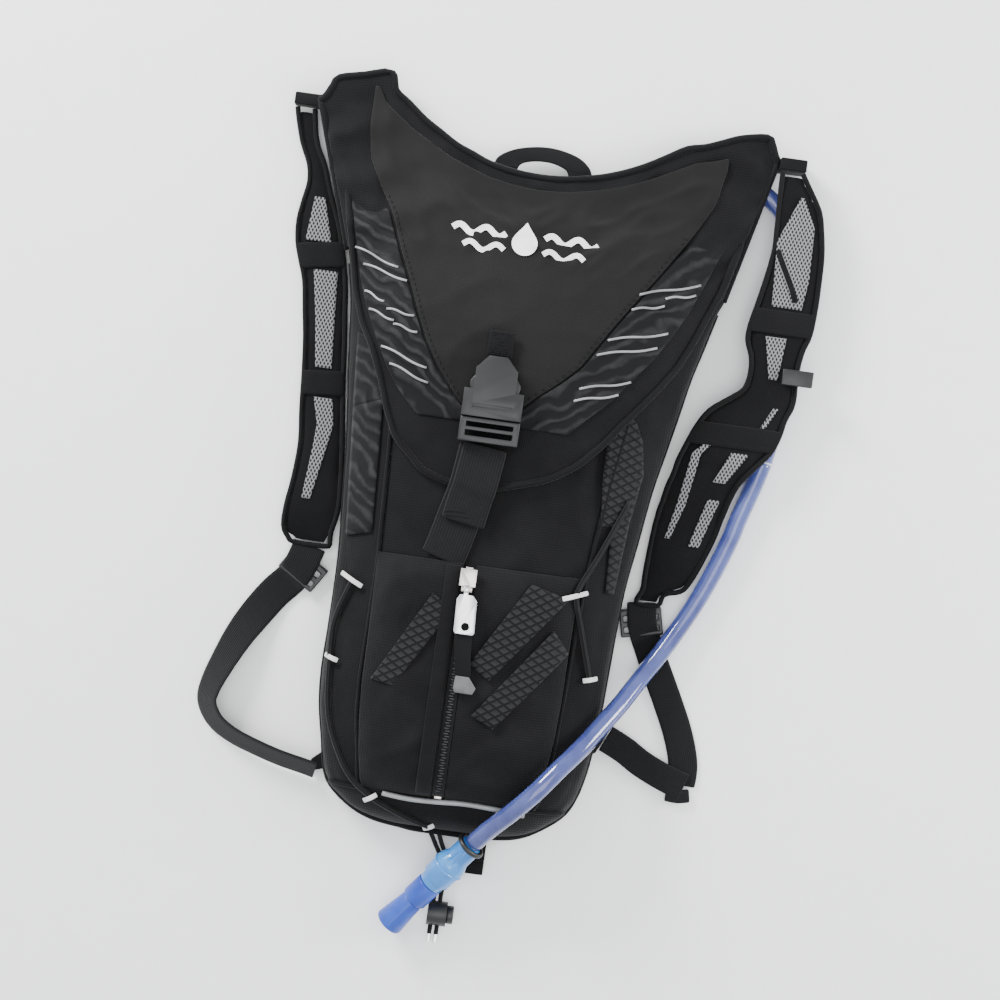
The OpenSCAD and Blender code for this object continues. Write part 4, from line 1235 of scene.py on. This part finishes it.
def strap_pad(name, rows, node):
    y1, y0 = rows[0][0], rows[-1][0]

    def place(s, t):
        y = y0 + (y1 - y0) * t
        a, b = sorted((pad_at(rows, y, 1), pad_at(rows, y, 2)))
        turn = 2 * math.pi * s
        c, d = math.cos(turn), math.sin(turn)
        across = math.copysign(abs(c) ** 0.45, c)
        through = -math.copysign(abs(d) ** 0.6, d)
        tight = min(1.0, 0.55 + 6 * min(t, 1 - t))
        return ((a + b) / 2 + across * ((b - a) / 2 - 0.2),
                y, pad_at(rows, y, 3) + PAD_T / 2 + through * (PAD_T / 2 - 1.4) * tight)
    pad = rolled(name, 28, 70, place)
    face_outward()
    apply_modifier(pad, "REMESH", mode="VOXEL", voxel_size=2.6 * MM)
    inflate(pad, 4.0, 12, 1.2)
    apply_modifier(pad, "SUBSURF", levels=1, render_levels=1)
    on_strap(pad, foam_cloth, [node])
    return len(pad.data.vertices)


print("strap pads:", strap_pad("shoulder_pad_left", PAD_L, "strap_pad_left"), "and",
      strap_pad("shoulder_pad_right", PAD_R, "strap_pad_right"), "points")

# %% [markdown]
# The face of each pad has open-mesh windows, dark bars sewn across it and a
# bound edge. The windows are grids between two edges, given as points down the
# strap, and laid just over the pad.

# %% Strap windows, bars and bound edges
def window(rows, left, right):
    y0, y1 = left[0][0], left[-1][0]

    def place(s, t):
        y = y0 + (y1 - y0) * t
        x = look(y, left) + (look(y, right) - look(y, left)) * s
        return (x, y, pad_top(rows, x, y, 0.3))
    return cloth("mesh", 8, 30, place, wall=0.5, levels=0)


EDGE_RADIUS = 1.5


def strap_edge(rows):
    """The bound edge that runs down one side of a pad and up the other"""
    ring = [(pad_at(rows, r[0], 1), r[0]) for r in rows] + \
           [(pad_at(rows, r[0], 2), r[0]) for r in reversed(rows)]
    toward = 1 if rows[0][2] < rows[0][1] else -1
    n = len(rows)
    line = [(x + (-EDGE_RADIUS if (k < n) == (toward > 0) else EDGE_RADIUS), y,
             pad_at(rows, y, 3) + PAD_T - 1.7) for k, (x, y) in enumerate(ring)]
    return round_cord("edge", curve_through(line, 3), EDGE_RADIUS, around=8)


left_mesh = joined("strap_mesh_left", [window(PAD_L, left, right) for left, right in (
    ([(44, -112.5), (70, -116), (99, -121)], [(44, -103), (70, -105), (99, -107)]),
    ([(-31, -110), (0, -107.5), (12, -107), (27, -111)],
     [(-31, -105), (0, -99.5), (12, -97.5), (27, -100)]),
    ([(115, -128), (140, -126)], [(115, -113), (140, -120)]))])
on_strap(left_mesh, window_mesh, ["strap_trim_left"])
right_mesh = joined("strap_mesh_right", [window(PAD_R, left, right) for left, right in (
    ([(113, 139), (150, 137), (176, 147)], [(113, 156), (130, 158), (160, 157), (176, 149)]),
    ([(72, 143), (96, 138)], [(72, 148), (96, 150)]),
    ([(44, 142), (56, 148)], [(44, 145), (56, 151)]),
    ([(10, 120), (28, 128)], [(10, 127), (28, 138)]),
    ([(-28, 112), (0, 119)], [(-28, 118), (0, 126)]),
    ([(-25, 98), (-5, 102), (25, 106), (33, 114)],
     [(-25, 101), (-5, 107), (25, 111), (33, 118)]))])
on_strap(right_mesh, window_mesh, ["strap_trim_right"])


def bar(rows, y0, y1, tilt=0.0):
    """A dark band sewn across a pad"""
    def place(s, t):
        y = y0 + (y1 - y0) * t
        a, b = sorted((pad_at(rows, y, 1), pad_at(rows, y, 2)))
        x = a + 0.6 + (b - a - 1.2) * s
        return (x, y + tilt * (2 * s - 1), pad_top(rows, x, y, 0.9))
    return cloth("bar", 20, 6, place, wall=0.9)


bars_l = joined("strap_bars_left", [
    bar(PAD_L, 100.5, 114.5, 2), bar(PAD_L, 28.5, 42.5, 1), strap_edge(PAD_L)])
on_strap(bars_l, edge_cloth)
seam = [(138, 145), (143, 135), (148, 126), (152, 117)]
bars_r = joined("strap_bars_right", [
    bar(PAD_R, 97.5, 111.5), bar(PAD_R, 30.5, 43.5), strap_edge(PAD_R),
    ribbon("seam", [(x, y, pad_top(PAD_R, x, y, 0.8)) for x, y in seam], 3, 0.4, levels=0)])
on_strap(bars_r, edge_cloth)
print("strap faces:", left_mesh.name, right_mesh.name, bars_l.name, bars_r.name)

# %% [markdown]
# ## Webbing straps
#
# Each strap's web comes off its ladder lock, goes round the side and is sewn to
# the foot of the pack. The left one stands on its edge round the bend, as stiff
# webbing does. The right one lies flat, with a fold in it.

# %% Webbing
LEFT_WEB = [(-111, -79, 0), (-118, -87, 0), (-126, -99, 12), (-134, -113, 35), (-141, -129, 55),
            (-146, -143, 68), (-147, -153, 76), (-141, -163, 82), (-130, -170, 85),
            (-116, -175, 86), (-102, -179, 86), (-87, -182, 86), (-80.5, -183.5, 86)]
STANDING = 0.66
steps = len(LEFT_WEB) - 1


def web_height(a):
    return 1.4 + 9.6 * math.sin(math.radians(STANDING * a))


through_lock = [(-101.5, -57, 5.4), (-104, -66, 6.2), (-107.4, -74, 5.4)]
left_route = curve_through(through_lock + [(x, y, web_height(a)) for x, y, a in LEFT_WEB], 4)
left_tilt = [(0, 0), (3 / (steps + 3), 0)]
left_tilt += [((k + 3) / (steps + 3), -STANDING * a) for k, (x, y, a) in enumerate(LEFT_WEB) if k]
web_left = ribbon("webbing_left_ribbon", left_route, 19.4, 1.6, rows=110, tilt=left_tilt, cols=6)
finish_piece(web_left, strap_web, None, ["webbing_left"])
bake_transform(web_left)

leg = [(90.5, -63, 5.2), (91.8, -73, 6.2), (94, -80, 4.6), (96.8, -85.5, 1.6), (103, -98, 1.4),
       (114, -119, 1.4), (122, -136, 1.4), (127, -152, 1.4), (127, -164, 1.4)]
back = [(129, -164.5, 3.4), (118, -161, 3.2), (104, -155, 3.2), (92, -148, 3.2), (81, -143, 3.2)]
web_right = joined("webbing_right_ribbon", [
    ribbon("leg", curve_through(leg, 5), 17, 1.6, rows=50, cols=6),
    ribbon("back", curve_through(back, 5), 16, 1.6, rows=40, cols=6),
    ribbon("fold", [(119, -170, 3.0), (126, -170.4, 3.4), (133, -169, 2.6)], 8, 1.4, rows=8)])
finish_piece(web_right, strap_web, None, ["webbing_right"])
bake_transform(web_right)
print("webbing:", web_left.name, web_right.name)

# %% [markdown]
# ## Elastic cord, loops and piping
#
# Black elastic zigzags down each side through white sewn loops. Each loop is a
# short ribbon that rises over the cord.

# %% Side cords, loops and piping
SIDE_L = [(-73, -72), (-80, -95), (-80, -117), (-76, -150), (-62, -178), (-46, -191), (-28, -199),
          (-12, -204.5)]
SIDE_R = [(74, -8), (62, -38), (53, -58), (52, -66), (57, -82), (64, -104), (66, -110)]


def side_run(points, node):
    flat = curve_through(points, 5)
    line = [(x, y, max(body_z(x, y, 2.6), pocket_z(x, y, 1.9) if on_pocket(x, y) else 0))
            for x, y in flat]
    piece = round_cord(f"{node}_braid", line, 1.6, around=10)
    finish_piece(piece, side_cord, "pack", [node])


side_run(SIDE_L, "shock_cord_left")
side_run(SIDE_R, "shock_cord_right")

LOOPS = [(-80, -69, -67, -75), (-83, -116, -75, -118), (-50, -194, -43, -189), (44, -66, 58, -61),
         (62, -110, 70, -108), (-15, -207, -9, -203)]
loops = []
for x0, y0, x1, y1 in LOOPS:
    line = []
    for k, (x, y) in enumerate(even_points((x0, y0), (x1, y1), 8)):
        base = body_z(x, y, 2.4)
        if on_pocket(x, y):
            base = max(base, pocket_z(x, y, 1.2))
        line.append((x, y, base + 2.9 * math.sin(math.pi * k / 8)))
    loops.append(ribbon("loop", line, 2.8, 1.0, rows=16, cols=3))
finish_piece(joined("white_cord_loops", loops), loop_web, "pack", ["cord_loops"])

pipe = [(-40, -187.5), (-25, -188.5), (-10, -188), (5, -187), (20, -187.5), (40, -189.5)]
pipe_line = [(x, y, body_z(x, y, 2.4) + 0.3) for x, y in curve_through(pipe, 5)]
piping = round_cord("foot_piping", pipe_line, 1.5, around=10)
finish_piece(piping, reflective, "pack", ["reflective_piping"])
print("cord loops:", len(loops))

# %% [markdown]
# ## Loops and tabs at the ends
#
# The haul loop at the neck is a flat web sewn double. Short tabs hold the
# shoulder ends and the webbing.

# %% Haul loop
outer = curve_through([(-28, 171, 0), (-26, 177, 0), (-17, 182.5, 0), (-4, 185.6, 0), (8, 185.6, 0),
                       (20, 182.5, 0), (27, 177, 0), (29, 171, 0)], 4)
inner_arc = curve_through([(-14, 171, 0), (-12.5, 174, 0), (-8, 176, 0), (-2, 177, 0), (4, 177, 0),
                           (9, 176, 0), (13.5, 174, 0), (15, 171, 0)], 4)


def haul_place(s, t):
    a, _ = along_curve(outer, 1 - t)
    b, _ = along_curve(inner_arc, 1 - t)
    p = b.lerp(a, s)
    return (p.x, p.y, 9.3 + 0.25 * math.sin(math.pi * s))


haul = cloth("haul_loop_web", 8, 40, haul_place, wall=2.2)
face_outward()
finish_piece(haul, strap_web, "haul", ["haul_loop"])

for node, mat, width in (
        ("haul_anchor", edge_cloth, 0.6), ("strap_anchors", edge_cloth, 0.8),
        ("webbing_tabs", edge_cloth, 0.6), ("bottom_tab", edge_cloth, 0.5),
        ("zip_pull_tape", strap_web, 0.3), ("hose_port", edge_cloth, 0.3)):
    refined(node, mat, width)
print("haul loop and tabs made")

# %% [markdown]
# ## The back and the inside
#
# The back pad is foam under air mesh, flat where the pack lies on it and rounded
# at its rim. Inside hangs the reservoir: a flat film bag that swells a little,
# with a welded rim.

# %% Back pad
def back_place(s, t):
    y = -149 + 258 * t
    narrow = 13 * max(0, (-136 - y) / 13, (y - 95) / 14)
    a, b = -59 + narrow, 54 - narrow
    turn = 2 * math.pi * s
    c, d = math.cos(turn), -math.sin(turn)
    across = math.copysign(abs(c) ** 0.28, c)
    through = math.copysign(abs(d) ** 0.5, d)
    channel = 0.8 * max(0, math.cos(y * 0.105)) ** 12 if d < 0 else 0
    return ((a + b) / 2 + across * (b - a) / 2, y, 3.0 + 2.9 * through + channel)


back = rolled("back_pad_mesh", 96, 150, back_place)
finish_piece(back, back_mesh, "pack", ["back_pad"])

refined("back_panel", shell_cloth, 0.4)
print("back pad:", len(back.data.vertices), "points")

# %% [markdown]
# The bladder is a rounded grid, high in the middle and thin at its welded rim.

# %% Bladder and inner hose
def bladder_half(sign):
    def place(s, t):
        u, v = (2 * s - 1) * sign, 2 * t - 1
        edge = (1 - abs(u) ** 3.2) * (1 - abs(v) ** 6)
        x = -8 + 57.5 * u * (1 - 0.06 * v * v)
        return (x, -16 + 133 * v, 21 + sign * (0.6 + 8.2 * max(0, edge) ** 0.55))
    return place


bag = joined("bladder_bag", [cloth("bag", 30, 50, bladder_half(1), wall=0.6),
                             cloth("bag", 30, 50, bladder_half(-1), wall=0.6)])
finish_piece(bag, film, "pack", ["bladder"])

HOSE_IN = [(36.5, -125, 34), (48, -121, 31), (58, -111, 25), (62, -97, 20), (62, -75, 17),
           (62, -40, 16.5), (62, 0, 16.5), (61, 50, 16.5), (61, 95, 16.5), (63, 122, 16),
           (68, 142, 12.5), (78, 162, 7.5), (92, 176, 5.8), (108, 182, 5.8), (124, 178.5, 5.8),
           (138, 169, 5.8), (147, 156, 5.8), (150, 141, 5.8)]
inside = round_cord("drinking_hose_inside", HOSE_IN, HOSE_RADIUS, per=4)
finish_piece(inside, clear_hose, None, ["hose_inside"])
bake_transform(inside)
print("inner hose:", round(route_length(curve_through(HOSE_IN, 4)), 3), "m")

# %% [markdown]
# ## Joint lines on the valve
#
# Two thin rings go round the valve: its collar, and the line where its shells
# meet.

# %% Valve rings
START, END = Vector((14, -209, 32)), Vector((-27, -263, 10))
aim = (END - START).normalized()
for name, mat, slot_name, at, radius, thick in (
        ("valve_collar", black_plastic, "plastic_black", 1.8, 7.3, 1.5),
        ("valve_ring", valve_plastic, "valve_blue", 20.5, 9.0, 0.8)):
    bpy.ops.mesh.primitive_torus_add(major_radius=radius * MM, minor_radius=thick * MM,
                                     major_segments=40, minor_segments=12)
    ring = bpy.context.active_object
    ring.name = ring.data.name = name
    ring.data.transform(aim.to_track_quat("Z", "Y").to_matrix().to_4x4())
    for v in ring.data.vertices:
        v.co += (START + aim * at) * MM
    finish_piece(ring, mat, "pack")
print("valve rings made")

# %% Final update
bpy.context.view_layer.update()
